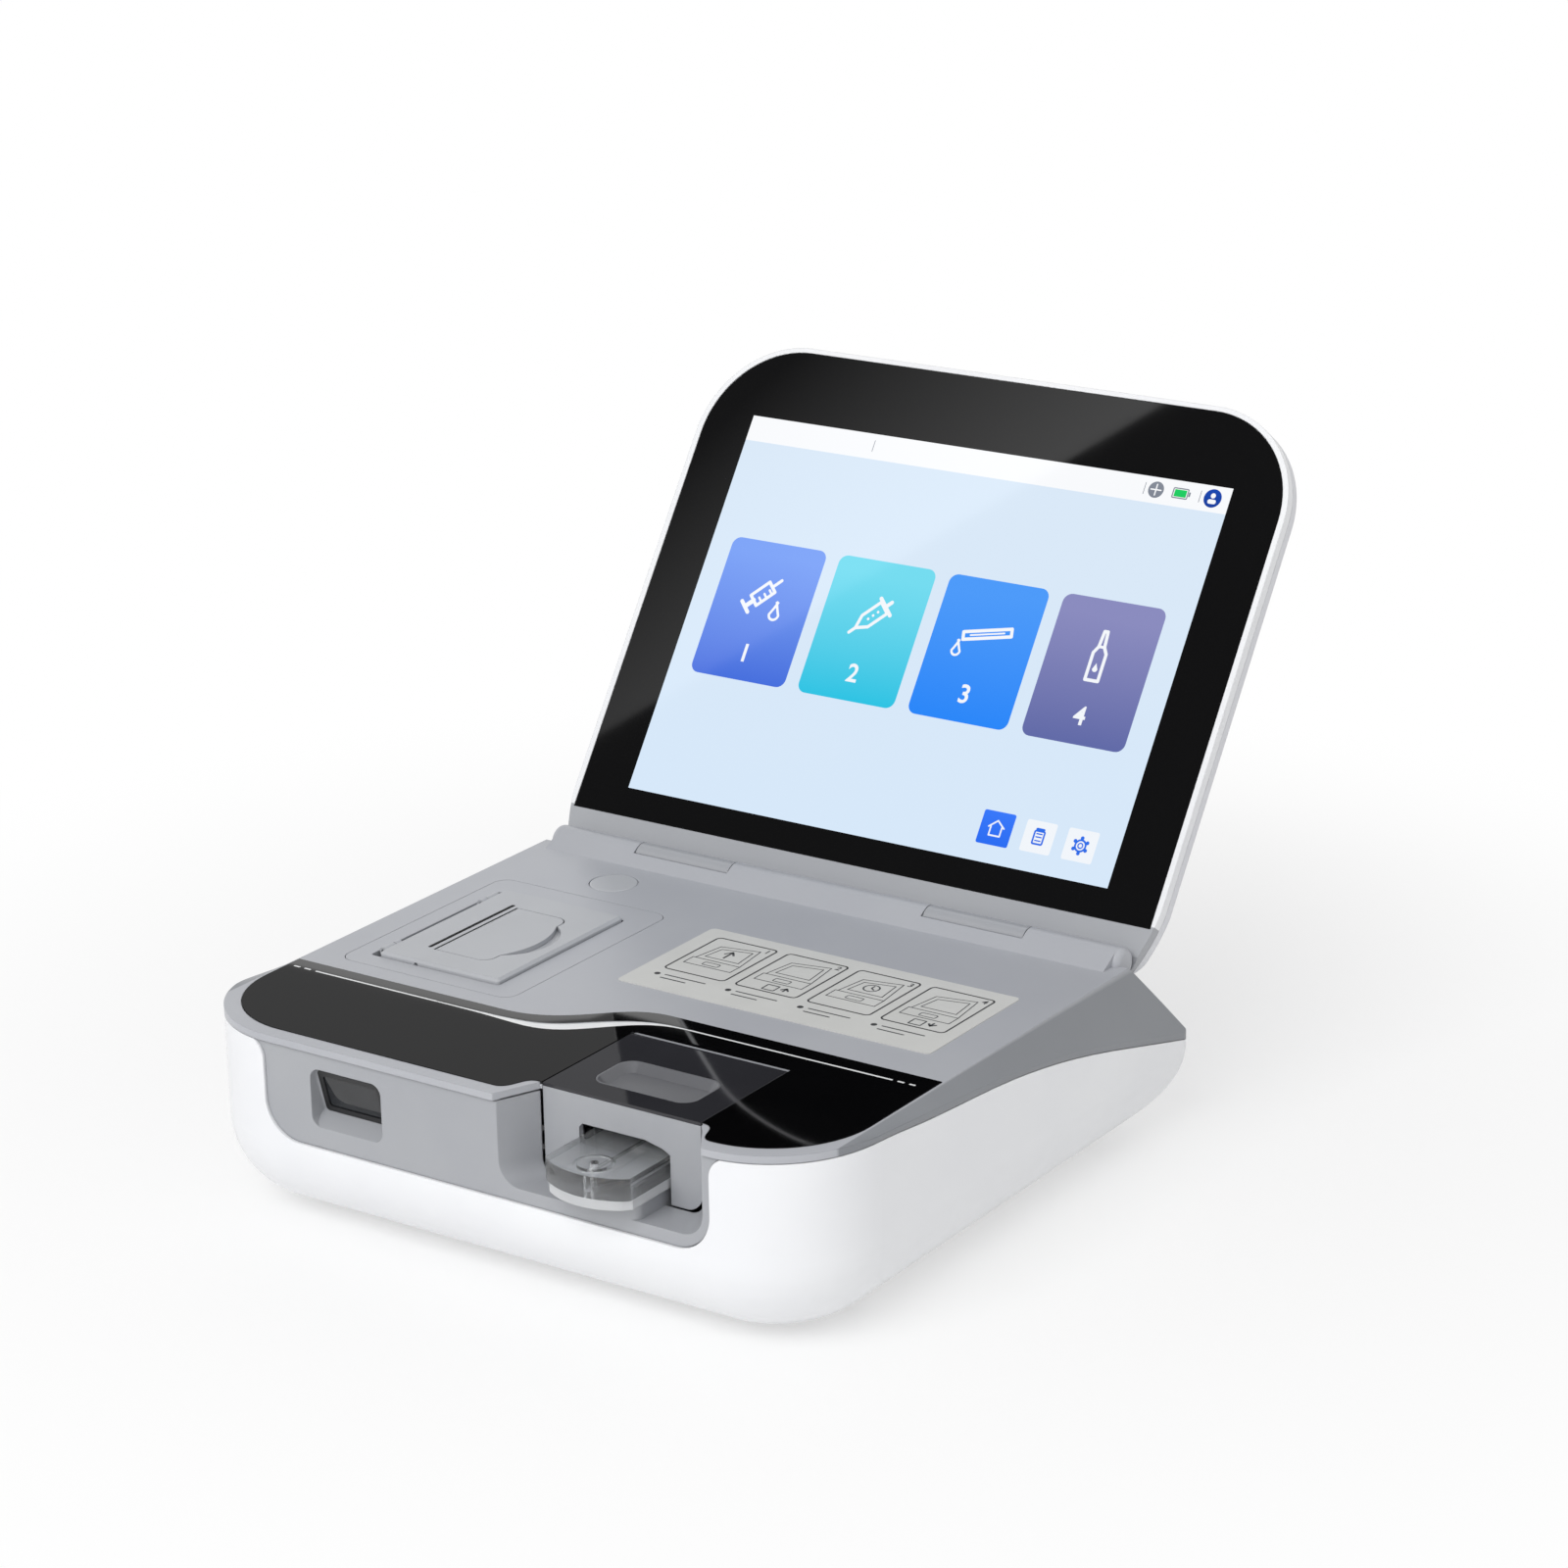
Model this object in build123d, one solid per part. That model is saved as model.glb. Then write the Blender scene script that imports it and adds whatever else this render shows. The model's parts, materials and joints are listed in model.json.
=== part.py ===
"""Bench-top blood gas analyzer with a fold-down touch screen.

Everything is drawn in millimetres with z = 0 on the flat top of the body and y = 0 at the
front edge of the control overlay, then moved so that the feet stand on z = 0 and the plan
is centred on the origin.
"""

from build123d import *
import math
import os

os.makedirs("parts", exist_ok=True)

# Body shell
body_half_width = 132.5
body_front = -6.0
body_back = 239.0
body_bottom = -70.0
front_corner_radius = 41.0
back_corner_radius = 6.0
bottom_round = 30.0
wall = 2.5
top_half_width = body_half_width - 4.5
rear_slope_start = 201.0
side_strip = 2.7
seam_gap = 0.3
lip_thickness = 1.5
lip_depth = 3.5
# side view of the seam between the two shells, from the front to the back: y, z
seam_line = [(25, -3.0), (59.8, -6.0), (108.4, -10.2), (159.7, -18.5), (186.5, -25.0), (214.1, -32.4),
             (239.0, -39.0)]
seam_front_z = -3.0

# Feet and screws
foot_radius = 8.0
foot_height = 2.5
foot_sink = 1.5
foot_x = body_half_width - 48.5
foot_front_y = 42.0
foot_back_y = 192.0
boss_radius = 4.0
screw_radius = 1.5
screw_fit = 0.05
boss_front_x = body_half_width - 20.5
boss_back_x = body_half_width - 14.5
boss_places = [(-boss_front_x, 46), (boss_front_x, 46), (-boss_back_x, 178), (boss_back_x, 200)]

# Front bezel
bezel_half_width = 93.0
bezel_face = -5.0
bezel_bottom = -37.5
bezel_corner = 14.0
bezel_thickness = 2.0
bezel_gap = 0.2
bay_left_front = 7.0
bay_right_front = 89.8
bay_left_back = 14.0
bay_right_back = 79.6
bay_back_y = 10.5
bay_floor = -32.6
bay_corner = 9.0
bay_wall = 2.0
ledge_left = 33.0
ledge_right = 64.0
ledge_top = -26.8
ledge_front_y = -5.0
ledge_back_y = 16.6

# Scanner recess
scan_left = -73.3
scan_right = -42.6
scan_top = -8.7
scan_bottom = -30.0
scan_corner = 4.0
scan_window_half_width = 12.6
scan_window_height = 14.4
scan_tilt = 14.8
scan_middle_y = -0.3
scan_middle_z = -17.6

# Control overlay and label
overlay_thickness = 1.0
overlay_proud = 0.2
overlay_half_width = body_half_width - 5.2
overlay_corner = overlay_half_width - 90.3
overlay_left_back_y = 54.6
overlay_right_back_y = 80.0
label_left = -19.0
label_right = 111.0
label_front = 97.5
label_back = 156.5
label_thickness = 0.25

# Sample door
door_left = 14.7
door_right = 78.9
door_front = 10.5
door_back = 63.0
door_bottom = -32.2
door_corner = 1.0
door_skin = 1.2
door_plate = 1.8
door_wall = 2.4
door_gap = 0.3
door_axis_y = 60.0
door_axis_z = -3.0
door_barrel = 3.0
door_pin_radius = 1.0
pin_fit = 0.05
notch_left = 29.2
notch_right = 66.2
notch_top = -11.3
scoop_left = 26.6
scoop_right = 67.5
scoop_front = 20.0
scoop_back = 42.0
scoop_corner = 6.0
scoop_rim = 3.3
scoop_depth = 3.0

# Cartridge
card_left = 31.0
card_right = 65.4
card_middle = 48.2
card_top = -15.0
card_split = -22.9
card_bottom = -26.4
card_tip_y = -16.5
card_side_y = -12.0
card_back_y = 50.0
well_radius = 7.0
well_y = -6.8
tray_gap = 0.3

# Valve plunger under the cartridge
plunger_y = 46.0
plunger_radius = 2.0
plunger_top = -27.0
plunger_travel = 2.0
solenoid_top = -42.0

# Printer
frame_left = 16.4 - body_half_width
frame_right = frame_left + 76.1
frame_front = 63.2
frame_back = 158.5
frame_corner = 5.5
pdoor_left = frame_left + 11.1
pdoor_right = pdoor_left + 53.5
pdoor_front = 72.0
pdoor_back = 146.0
pdoor_top = 1.9
pdoor_axis_x = pdoor_left - 1.4
pdoor_axis_z = 0.0
pdoor_barrel = 1.6
pdoor_groove = 3.5
pdoor_pin_radius = 0.7
pdoor_gap = 0.5
# knuckle of the door and ear of the frame beside it, front and back pair
pdoor_knuckles = ((76.0, 82.0), (136.0, 142.0))
pdoor_ears = ((82.4, 85.4), (132.6, 135.6))
slit_x = pdoor_left + 13.0
slit_front = 84.4
slit_back = 134.2
slit_width = 1.6
lever_left = pdoor_left + 16.7
lever_right = lever_left + 22.8
lever_front = 84.0
lever_back = 132.0
lever_corner = 5.0
lever_sink = 1.8
lever_axis_z = 0.0
lever_barrel = 1.8
lever_pin_radius = 0.75
lever_gap = 0.4
platen_x = pdoor_left + 17.7
platen_z = -9.0
platen_radius = 4.5
platen_shaft = 1.6
gear_module = 0.8
platen_teeth = 14
pinion_teeth = 10
gear_width = 3.0
roll_x = pdoor_left + 37.5
roll_z = -21.5
roll_radius = 14.5
roll_width = 47.5
roll_front = 85.6
core_radius = 6.5
core_bore = 5.0
spindle_radius = 4.94
bucket_left = pdoor_left + 3.8
bucket_wall = 1.5
bucket_back = 144.7

# Power button
button_x = frame_left + 38.4
button_y = 175.8
button_radius = 9.0
button_gap = 0.25
button_travel = 1.2

# Hinge
hinge_y = 204.6
hinge_z = -0.4
barrel_radius = 6.0
barrel_half_length = body_half_width - 7.7
ramp_start = 193.0
knuckle_inner = 43.0
knuckle_outer = 85.0
knuckle_gap = 0.4
shaft_radius = 2.5
shaft_fit = 0.05

# Lid, drawn upright with its hinge axis on the origin, then leaned back
lid_lean = 35.18
glass_depth = 5.35
glass_thickness = 1.1
glass_bottom = 15.2
glass_top = 209.0
glass_corner = 38.0
lid_half_width = body_half_width - 3.2
glass_half_width = lid_half_width - 2.4
lid_top = 211.0
lid_bottom = -2.5
lid_edge = 7.5
lid_middle = 14.0
rim_depth = 4.0
lid_wall = 2.0
lid_clearance = 6.7
display_width = 2 * (glass_half_width - 8.9)
display_height = 174.0
display_depth = 4.4
display_middle = 103.6
lid_screw_places = (-108.0, -20.0, 20.0, 108.0)
lid_screw_height = 10.0

# Board, battery and sockets
board_z = -58.0
board_thickness = 1.6
socket_plane = 229.5
socket_left = -52.0
socket_right = 52.0
socket_bottom = -59.0
socket_top = -43.5
speaker_x = -foot_x
speaker_y = 76.0
battery_left = -15.0
battery_right = 95.0
battery_front = 84.0
battery_back = 140.0
battery_top = -45.0
cover_thickness = 2.0


# Plain shapes

def box(x0, x1, y0, y1, z0, z1):
    size = Box(x1 - x0, y1 - y0, z1 - z0)
    return Pos((x0 + x1) / 2, (y0 + y1) / 2, (z0 + z1) / 2) * size


def slab(x0, x1, y0, y1, z0, z1, radius):
    """Upright block with rounded corners in plan."""
    face = Pos((x0 + x1) / 2, (y0 + y1) / 2, z0) * RectangleRounded(x1 - x0, y1 - y0, radius)
    return extrude(face, z1 - z0, dir=(0, 0, 1))


def rod_x(radius, x0, x1, y, z):
    return Pos((x0 + x1) / 2, y, z) * Rot(0, 90, 0) * Cylinder(radius, x1 - x0)


def rod_y(radius, y0, y1, x, z):
    return Pos(x, (y0 + y1) / 2, z) * Rot(90, 0, 0) * Cylinder(radius, y1 - y0)


def rod_z(radius, z0, z1, x, y):
    return Pos(x, y, (z0 + z1) / 2) * Cylinder(radius, z1 - z0)


def along_x(points, x0, x1):
    """Prism along X over a closed outline given as y, z."""
    face = Face(Wire.make_polygon([(x0, y, z) for y, z in points]))
    return Solid.extrude(face, (x1 - x0, 0, 0))


def along_y(points, y0, y1):
    """Prism along Y over a closed outline given as x, z."""
    face = Face(Wire.make_polygon([(x, y0, z) for x, z in points]))
    return Solid.extrude(face, (0, y1 - y0, 0))


def along_z(edges, z0, z1):
    """Prism along Z over edges drawn in plan."""
    return extrude(Pos(0, 0, z0) * make_face(edges), z1 - z0, dir=(0, 0, 1))


def rounded_wire(x0, x1, y0, y1, front, back, z):
    """Closed rectangle in plan with one radius for the front corners and one for the back."""
    f = front * (1 - math.sqrt(0.5))
    b = back * (1 - math.sqrt(0.5))
    corners = [
        Line((x0 + front, y0, z), (x1 - front, y0, z)),
        ThreePointArc((x1 - front, y0, z), (x1 - f, y0 + f, z), (x1, y0 + front, z)),
        Line((x1, y0 + front, z), (x1, y1 - back, z)),
        ThreePointArc((x1, y1 - back, z), (x1 - b, y1 - b, z), (x1 - back, y1, z)),
        Line((x1 - back, y1, z), (x0 + back, y1, z)),
        ThreePointArc((x0 + back, y1, z), (x0 + b, y1 - b, z), (x0, y1 - back, z)),
        Line((x0, y1 - back, z), (x0, y0 + front, z)),
        ThreePointArc((x0, y0 + front, z), (x0 + f, y0 + f, z), (x0 + front, y0, z)),
    ]
    return Wire(corners)


def mirrored(shape):
    """The shape together with its mirror image across the centre plane."""
    return shape + mirror(shape, about=Plane.YZ)


# Body envelope

def hull(inset):
    """Lower body with its rounded bottom edge, set in from the outside all round."""
    radius = bottom_round - inset
    floor = body_bottom + inset
    wires = []
    for step in range(7):
        angle = math.radians(90 - 15 * step)
        shift = inset + radius * (1 - math.cos(angle))
        wires.append(rounded_wire(
            -body_half_width + shift, body_half_width - shift, body_front + shift, body_back - shift,
            front_corner_radius - shift, max(back_corner_radius - inset, 2.5) + 0.6 * (shift - inset),
            floor + radius * (1 - math.sin(angle))))
    bowl = Solid.make_loft(wires)
    walls = Solid.extrude(Face(wires[-1]), (0, 0, 2 - wires[-1].center().Z))
    return bowl + walls


def side_wedge(inset):
    """The corner taken off above the leaning side wall, right-hand side."""
    wires = []
    for y, seam in [(-40, seam_front_z), *seam_line, (280, -50.0)]:
        low = seam + side_strip - inset
        top_x = top_half_width - inset
        side_x = body_half_width - inset
        high = -inset
        slope = (low - high) / (side_x - top_x)
        wires.append(Wire.make_polygon([
            (top_x - 1, y, high - slope), (side_x + 3, y, low + 3 * slope), (side_x + 3, y, high + 8)]))
    return Solid.make_loft(wires, ruled=True)


def envelope(inset):
    """The whole body, set in from the outside."""
    start = rear_slope_start - inset * math.sqrt(2)
    shape = hull(inset) & box(-200, 200, -50, 300, -100, -inset)
    shape -= along_x([(start, 0), (start + 60, -60), (start + 60, 10), (start, 10)], -200, 200)
    wedge = side_wedge(inset)
    return shape - wedge - wedge.mirror(Plane.YZ)


def below_seam(shift):
    """Everything under the seam line, raised by the shift."""
    points = [(y, z + shift) for y, z in seam_line]
    spline = Spline([(0, y, z) for y, z in points], tangents=[(0, 1, 0), (0, 1, -0.27)])
    end_y, end_z = points[-1]
    edges = [
        Line((0, -60, seam_front_z + shift), (0, *points[0])),
        spline,
        Line((0, end_y, end_z), (0, 300, end_z - 16)),
        Line((0, 300, end_z - 16), (0, 300, -150)),
        Line((0, 300, -150), (0, -60, -150)),
        Line((0, -60, -150), (0, -60, seam_front_z + shift)),
    ]
    face = Face(Wire(edges))
    return Pos(-200, 0, 0) * Solid.extrude(face, (400, 0, 0))


# Shared cut-outs

def bezel_outline(grow):
    """Front panel outline with round lower corners and flared upper corners, drawn as x, z."""
    half = bezel_half_width + grow
    low = bezel_bottom - grow
    lower = bezel_corner
    bend = lower * (1 - math.sqrt(0.5))
    flare = 8.0
    top = seam_front_z + 1
    right = [
        Line((0, 0, low), (half - lower, 0, low)),
        ThreePointArc((half - lower, 0, low), (half - bend, 0, low + bend), (half, 0, low + lower)),
        Line((half, 0, low + lower), (half, 0, top - flare)),
        ThreePointArc((half, 0, top - flare), (half + 2.3, 0, top - 2.3), (half + flare, 0, top)),
    ]
    left = [Edge(edge.wrapped).mirror(Plane.YZ) for edge in right]
    close = Line((half + flare, 0, top), (-half - flare, 0, top))
    return Face(Wire([*right, close, *left]))


def bezel_prism(grow, y0, y1):
    return Pos(0, y0, 0) * Solid.extrude(bezel_outline(grow), (0, y1 - y0, 0))


def bay_section(x0, x1, y, floor, top, radius):
    bend = radius * (1 - math.sqrt(0.5))
    return Wire([
        Line((x0 + radius, y, floor), (x1 - radius, y, floor)),
        ThreePointArc((x1 - radius, y, floor), (x1 - bend, y, floor + bend), (x1, y, floor + radius)),
        Line((x1, y, floor + radius), (x1, y, top)),
        Line((x1, y, top), (x0, y, top)),
        Line((x0, y, top), (x0, y, floor + radius)),
        ThreePointArc((x0, y, floor + radius), (x0 + bend, y, floor + bend), (x0 + radius, y, floor)),
    ])


def bay_pocket(grow):
    """The opening in front of the sample door, its side walls spreading towards the front."""
    lean_left = (bay_left_back - bay_left_front) / (bay_back_y - bezel_face)
    lean_right = (bay_right_front - bay_right_back) / (bay_back_y - bezel_face)
    front_y = body_front - 2
    ahead = bezel_face - front_y
    front = bay_section(bay_left_front - lean_left * ahead - grow, bay_right_front + lean_right * ahead + grow,
                        front_y, bay_floor - grow, 5, bay_corner + grow)
    back = bay_section(bay_left_back - grow, bay_right_back + grow, bay_back_y, bay_floor - grow, 5,
                       bay_corner * 0.6 + grow)
    return Solid.make_loft([front, back], ruled=True)


def scanner_pocket(grow):
    """Recess with a tilted back wall and a floor that runs down to the lower lip."""
    tilt = math.tan(math.radians(scan_tilt))
    top_y = scan_middle_y - tilt * (scan_top - scan_middle_z) - 0.4
    foot_z = scan_middle_z - scan_window_height / 2 - 1.2
    foot_y = scan_middle_y + tilt * (scan_middle_z - foot_z) - 0.4
    slope = [(body_front - 4, scan_top + grow), (top_y + grow, scan_top + grow),
             (foot_y + grow, foot_z - grow * 0.3), (bezel_face, scan_bottom - grow),
             (body_front - 4, scan_bottom - grow)]
    middle = (scan_left + scan_right) / 2
    frame = Pos(middle, 20, (scan_top + scan_bottom) / 2) * Rot(90, 0, 0) * RectangleRounded(
        scan_right - scan_left + 2 * grow, scan_top - scan_bottom + 2 * grow, scan_corner + grow)
    return along_x(slope, scan_left - grow, scan_right + grow) & extrude(frame, 40, dir=(0, -1, 0))


def overlay_outline(grow):
    """Outline of the control overlay in plan: round front corners, stepped back edge, bay cut-out."""
    x = overlay_half_width + grow
    bend = overlay_corner * (1 - math.sqrt(0.5))
    left = overlay_left_back_y + grow
    right = overlay_right_back_y + grow
    front = -grow
    edges = [
        Line((-x + overlay_corner, front), (2, front)),
        Spline([(2, front), (8.3 + grow, 6.0), (13.4, bay_back_y - grow)], tangents=[(1, 0), (1, 0)]),
        Line((13.4, bay_back_y - grow), (80.2, bay_back_y - grow)),
        Spline([(80.2, bay_back_y - grow), (85.4 - grow, 5.2), (x - overlay_corner, front)],
               tangents=[(1, 0), (1, 0)]),
        ThreePointArc((x - overlay_corner, front), (x - bend, front + bend), (x, front + overlay_corner)),
        Line((x, front + overlay_corner), (x, right)),
        Line((x, right), (18, right)),
        Spline([(18, right), (-5 - grow, 69.0 + grow), (-36, left)], tangents=[(-1, 0), (-1, 0)]),
        Line((-36, left), (-x, left)),
        Line((-x, left), (-x, front + overlay_corner)),
        ThreePointArc((-x, front + overlay_corner), (-x + bend, front + bend), (-x + overlay_corner, front)),
    ]
    return edges


def printer_opening():
    return slab(pdoor_left - pdoor_groove, pdoor_right + pdoor_gap, pdoor_front - pdoor_gap,
                pdoor_back + pdoor_gap, -60, 10, 1.5)


def door_opening():
    hole = slab(door_left - door_gap, door_right + door_gap, door_front - 20, door_back + door_gap + 0.1, -60, 5,
                door_corner / 2)
    return hole & box(-200, 200, bay_back_y - 0.01, 100, -60, 5)


def wall_ring(inset, thickness):
    """Upright ring that follows the inside of the body walls."""
    rings = []
    for shift in (inset, inset + thickness):
        outline = rounded_wire(-body_half_width + shift, body_half_width - shift, body_front + shift,
                               body_back - shift, front_corner_radius - shift, 4.0, -60)
        rings.append(Solid.extrude(Face(outline), (0, 0, 60)))
    ring = rings[0] - rings[1] - box(-110, 110, -20, 8, -60, 10)
    return ring - box(socket_left - 4, socket_right + 4, 200, 300, -60, 10)


# Shell parts

def lower_housing():
    shell = (envelope(0) & below_seam(0)) - hull(wall)
    shell -= bezel_prism(bezel_gap, body_front - 5, 12)
    for x, y in boss_places:
        shell += rod_z(boss_radius, body_bottom + 1, -40, x, y) & envelope(0.5)
        shell -= rod_z(screw_radius + 0.3, -90, -30, x, y)
        shell -= rod_z(3.2, -90, body_bottom + 14, x, y)
    for x in (-foot_x, foot_x):
        for y in (foot_front_y, foot_back_y):
            shell -= rod_z(foot_radius + 0.1, -90, body_bottom + foot_sink, x, y)
    # recess for the sockets in the back wall
    pocket = box(socket_left - wall, socket_right + wall, socket_plane - wall, 300, socket_bottom - wall,
                 socket_top + wall)
    shell += (pocket & envelope(0) & below_seam(0))
    shell -= box(socket_left, socket_right, socket_plane, 300, socket_bottom, socket_top)
    for x0, x1, height in socket_places():
        shell -= box(x0 - 0.3, x1 + 0.3, 200, 300, board_z + board_thickness - 0.2,
                     board_z + board_thickness + height + 0.3)
    # battery opening in the floor with a seat for its cover
    shell -= slab(battery_left, battery_right, battery_front, battery_back, -90, -60, 3)
    shell -= slab(battery_left - 4, battery_right + 4, battery_front - 4, battery_back + 4, -90,
                  body_bottom + cover_thickness - 0.75, 5)
    for x in (-60, -50, -40, -30):
        shell -= slab(x, x + 3, 60, 110, -90, -60, 1.4)
    # sound holes under the speaker
    for row in range(3):
        for column in range(5):
            shell -= rod_z(1.2, -90, -60, speaker_x - 10 + 5 * column, speaker_y - 5 + 5 * row)
    for x in (-80, 60):
        for y in (154, 206):
            shell += rod_z(3.5, body_bottom + 1, board_z, x, y) - rod_z(1.2, -66, -50, x, y)
    return shell


def top_cover():
    shell = (envelope(0) - envelope(wall)) - below_seam(seam_gap)
    shell += (wall_ring(wall + 0.1, lip_thickness) & below_seam(seam_gap + 0.5)) - below_seam(-lip_depth)
    shell += (wall_ring(wall - 0.3, lip_thickness + 0.4) & below_seam(seam_gap + 1.7)) - below_seam(seam_gap)
    # hinge barrel with a ramp in front of it
    distance = hinge_y - ramp_start
    angle = math.degrees(math.asin(barrel_radius / math.hypot(distance, hinge_z)))
    angle += math.degrees(math.atan2(hinge_z, distance))
    reach = math.sqrt(distance ** 2 + hinge_z ** 2 - barrel_radius ** 2)
    touch_y = ramp_start + reach * math.cos(math.radians(angle))
    touch_z = reach * math.sin(math.radians(angle))
    barrel = rod_x(barrel_radius, -barrel_half_length, barrel_half_length, hinge_y, hinge_z)
    barrel = fillet(barrel.edges().filter_by(GeomType.CIRCLE), 2.5)
    ramp = along_x([(ramp_start - 4, -2), (ramp_start, 0), (touch_y, touch_z), (hinge_y, 0), (hinge_y, -4)],
                   -barrel_half_length + 2.5, barrel_half_length - 2.5)
    shell += barrel + ramp
    middle = (knuckle_inner + knuckle_outer) / 2
    length = knuckle_outer - knuckle_inner + 2 * knuckle_gap
    slot = rod_x(lid_clearance, middle - length / 2, middle + length / 2, hinge_y, hinge_z)
    slot += box(middle - length / 2, middle + length / 2, hinge_y, hinge_y + 12, hinge_z - 2, 12)
    shell -= mirrored(slot)
    cradle = rod_x(lid_clearance + 1.8, middle - length / 2 - 2, middle + length / 2 + 2, hinge_y, hinge_z)
    cradle -= rod_x(lid_clearance, middle - length / 2 - 5, middle + length / 2 + 5, hinge_y, hinge_z)
    shell += mirrored(cradle & envelope(1.0))
    shell -= mirrored(rod_x(shaft_radius, 20, 110, hinge_y, hinge_z))
    # seats for the overlay, the label, the printer and the sample door
    shell -= along_z(overlay_outline(0.15), overlay_proud - overlay_thickness, 10)
    shell -= bay_pocket(0.15)
    shell -= door_opening()
    for x0, x1 in ((door_left - 4.6, door_left + 2), (door_right - 2, door_right + 4.6)):
        shell -= box(x0, x1, door_axis_y - 4.5, door_axis_y + 3.5, -20, -1.7)
    shell -= slab(frame_left - 0.2, frame_right + 0.2, frame_front - 0.2, frame_back + 0.2, -60, 10, frame_corner)
    shell -= rod_z(button_radius + button_gap, -20, 10, button_x, button_y)
    for x, y in boss_places:
        boss = rod_z(boss_radius, -39.7, -1.5, x, y) & envelope(1.0)
        shell += boss - rod_z(screw_radius, -60, -20, x, y)
    return shell


def front_bezel():
    panel = bezel_prism(0, bezel_face, bezel_face + bezel_thickness)
    panel &= box(-200, 200, -50, 50, -100, seam_front_z - 0.1)
    flange = bezel_prism(1.2, body_front + wall + 0.1, body_front + wall + 1.8)
    flange &= box(-92, 92, -50, 50, -100, seam_front_z - 0.3)
    body = panel + flange
    walls = bay_pocket(bay_wall) & box(-200, 200, bezel_face, bay_back_y - 0.3, -100, -3.2)
    body += walls
    body += scanner_pocket(1.8) & box(-200, 200, bezel_face, 60, -100, seam_front_z - 0.3)
    body -= scanner_pocket(0)
    pocket = bay_pocket(0)
    body -= pocket
    ledge = box(ledge_left, ledge_right, ledge_front_y, ledge_back_y, bay_floor - bay_wall, ledge_top)
    ledge = fillet(ledge.edges().filter_by(Axis.Z).group_by(Axis.Y)[0], 3)
    body += ledge
    window = scanner_frame_at(scan_window_half_width + 1.2, scan_window_height / 2 + 1.2, -2.2, 1.0, 1.5)
    return body - window


def scanner_frame_at(half_width, half_height, front, back, radius):
    """Block square to the tilted window, from the front to the back of its plane."""
    face = RectangleRounded(2 * half_width, 2 * half_height, radius)
    block = extrude(Rot(90, 0, 0) * face, back - front, dir=(0, 1, 0))
    place = Pos((scan_left + scan_right) / 2, scan_middle_y, scan_middle_z) * Rot(scan_tilt, 0, 0)
    return place * Pos(0, front, 0) * block


def scanner_gasket():
    outer = scanner_frame_at(scan_window_half_width + 1.1, scan_window_height / 2 + 1.1, -0.9, 0.95, 1.4)
    return outer - scanner_frame_at(scan_window_half_width - 0.9, scan_window_height / 2 - 0.9, -3, 3, 1.0) \
        - scanner_frame_at(scan_window_half_width, scan_window_height / 2, -0.5, 3, 1.2)


def scanner_window():
    return scanner_frame_at(scan_window_half_width - 0.05, scan_window_height / 2 - 0.05, -0.45, 0.9, 1.1)


def scanner_module():
    body = scanner_frame_at(11, 6, 3.0, 26, 1.0)
    return body + scanner_frame_at(8, 4.5, 2.2, 3.2, 2.0)


def control_overlay():
    plate = along_z(overlay_outline(0), overlay_proud - overlay_thickness + 0.05, overlay_proud)
    return plate - door_opening()


def instruction_label():
    return slab(label_left, label_right, label_front, label_back, 0.0, label_thickness, 2)


# Sample door

def door_plan(z0, z1, inset):
    """Door outline in plan with round back corners."""
    face = slab(door_left + inset, door_right - inset, door_front - 20, door_back - inset, z0, z1, door_corner)
    return face & box(-200, 200, door_front + inset, 200, z0, z1)


def scoop(depth, z, inset):
    """Rounded rectangle of the finger scoop."""
    face = Pos((scoop_left + scoop_right) / 2, (scoop_front + scoop_back) / 2, z)
    face = face * RectangleRounded(scoop_right - scoop_left - 2 * inset, scoop_back - scoop_front - 2 * inset,
                                   max(scoop_corner - inset, 1.5))
    return extrude(face, depth, dir=(0, 0, 1))


def roll_limit():
    """Space in front of the door's rolled back edge."""
    keep = box(0, 100, 0, door_axis_y, -60, 5)
    return keep + rod_x(door_barrel, 0, 100, door_axis_y, door_axis_z)


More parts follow.
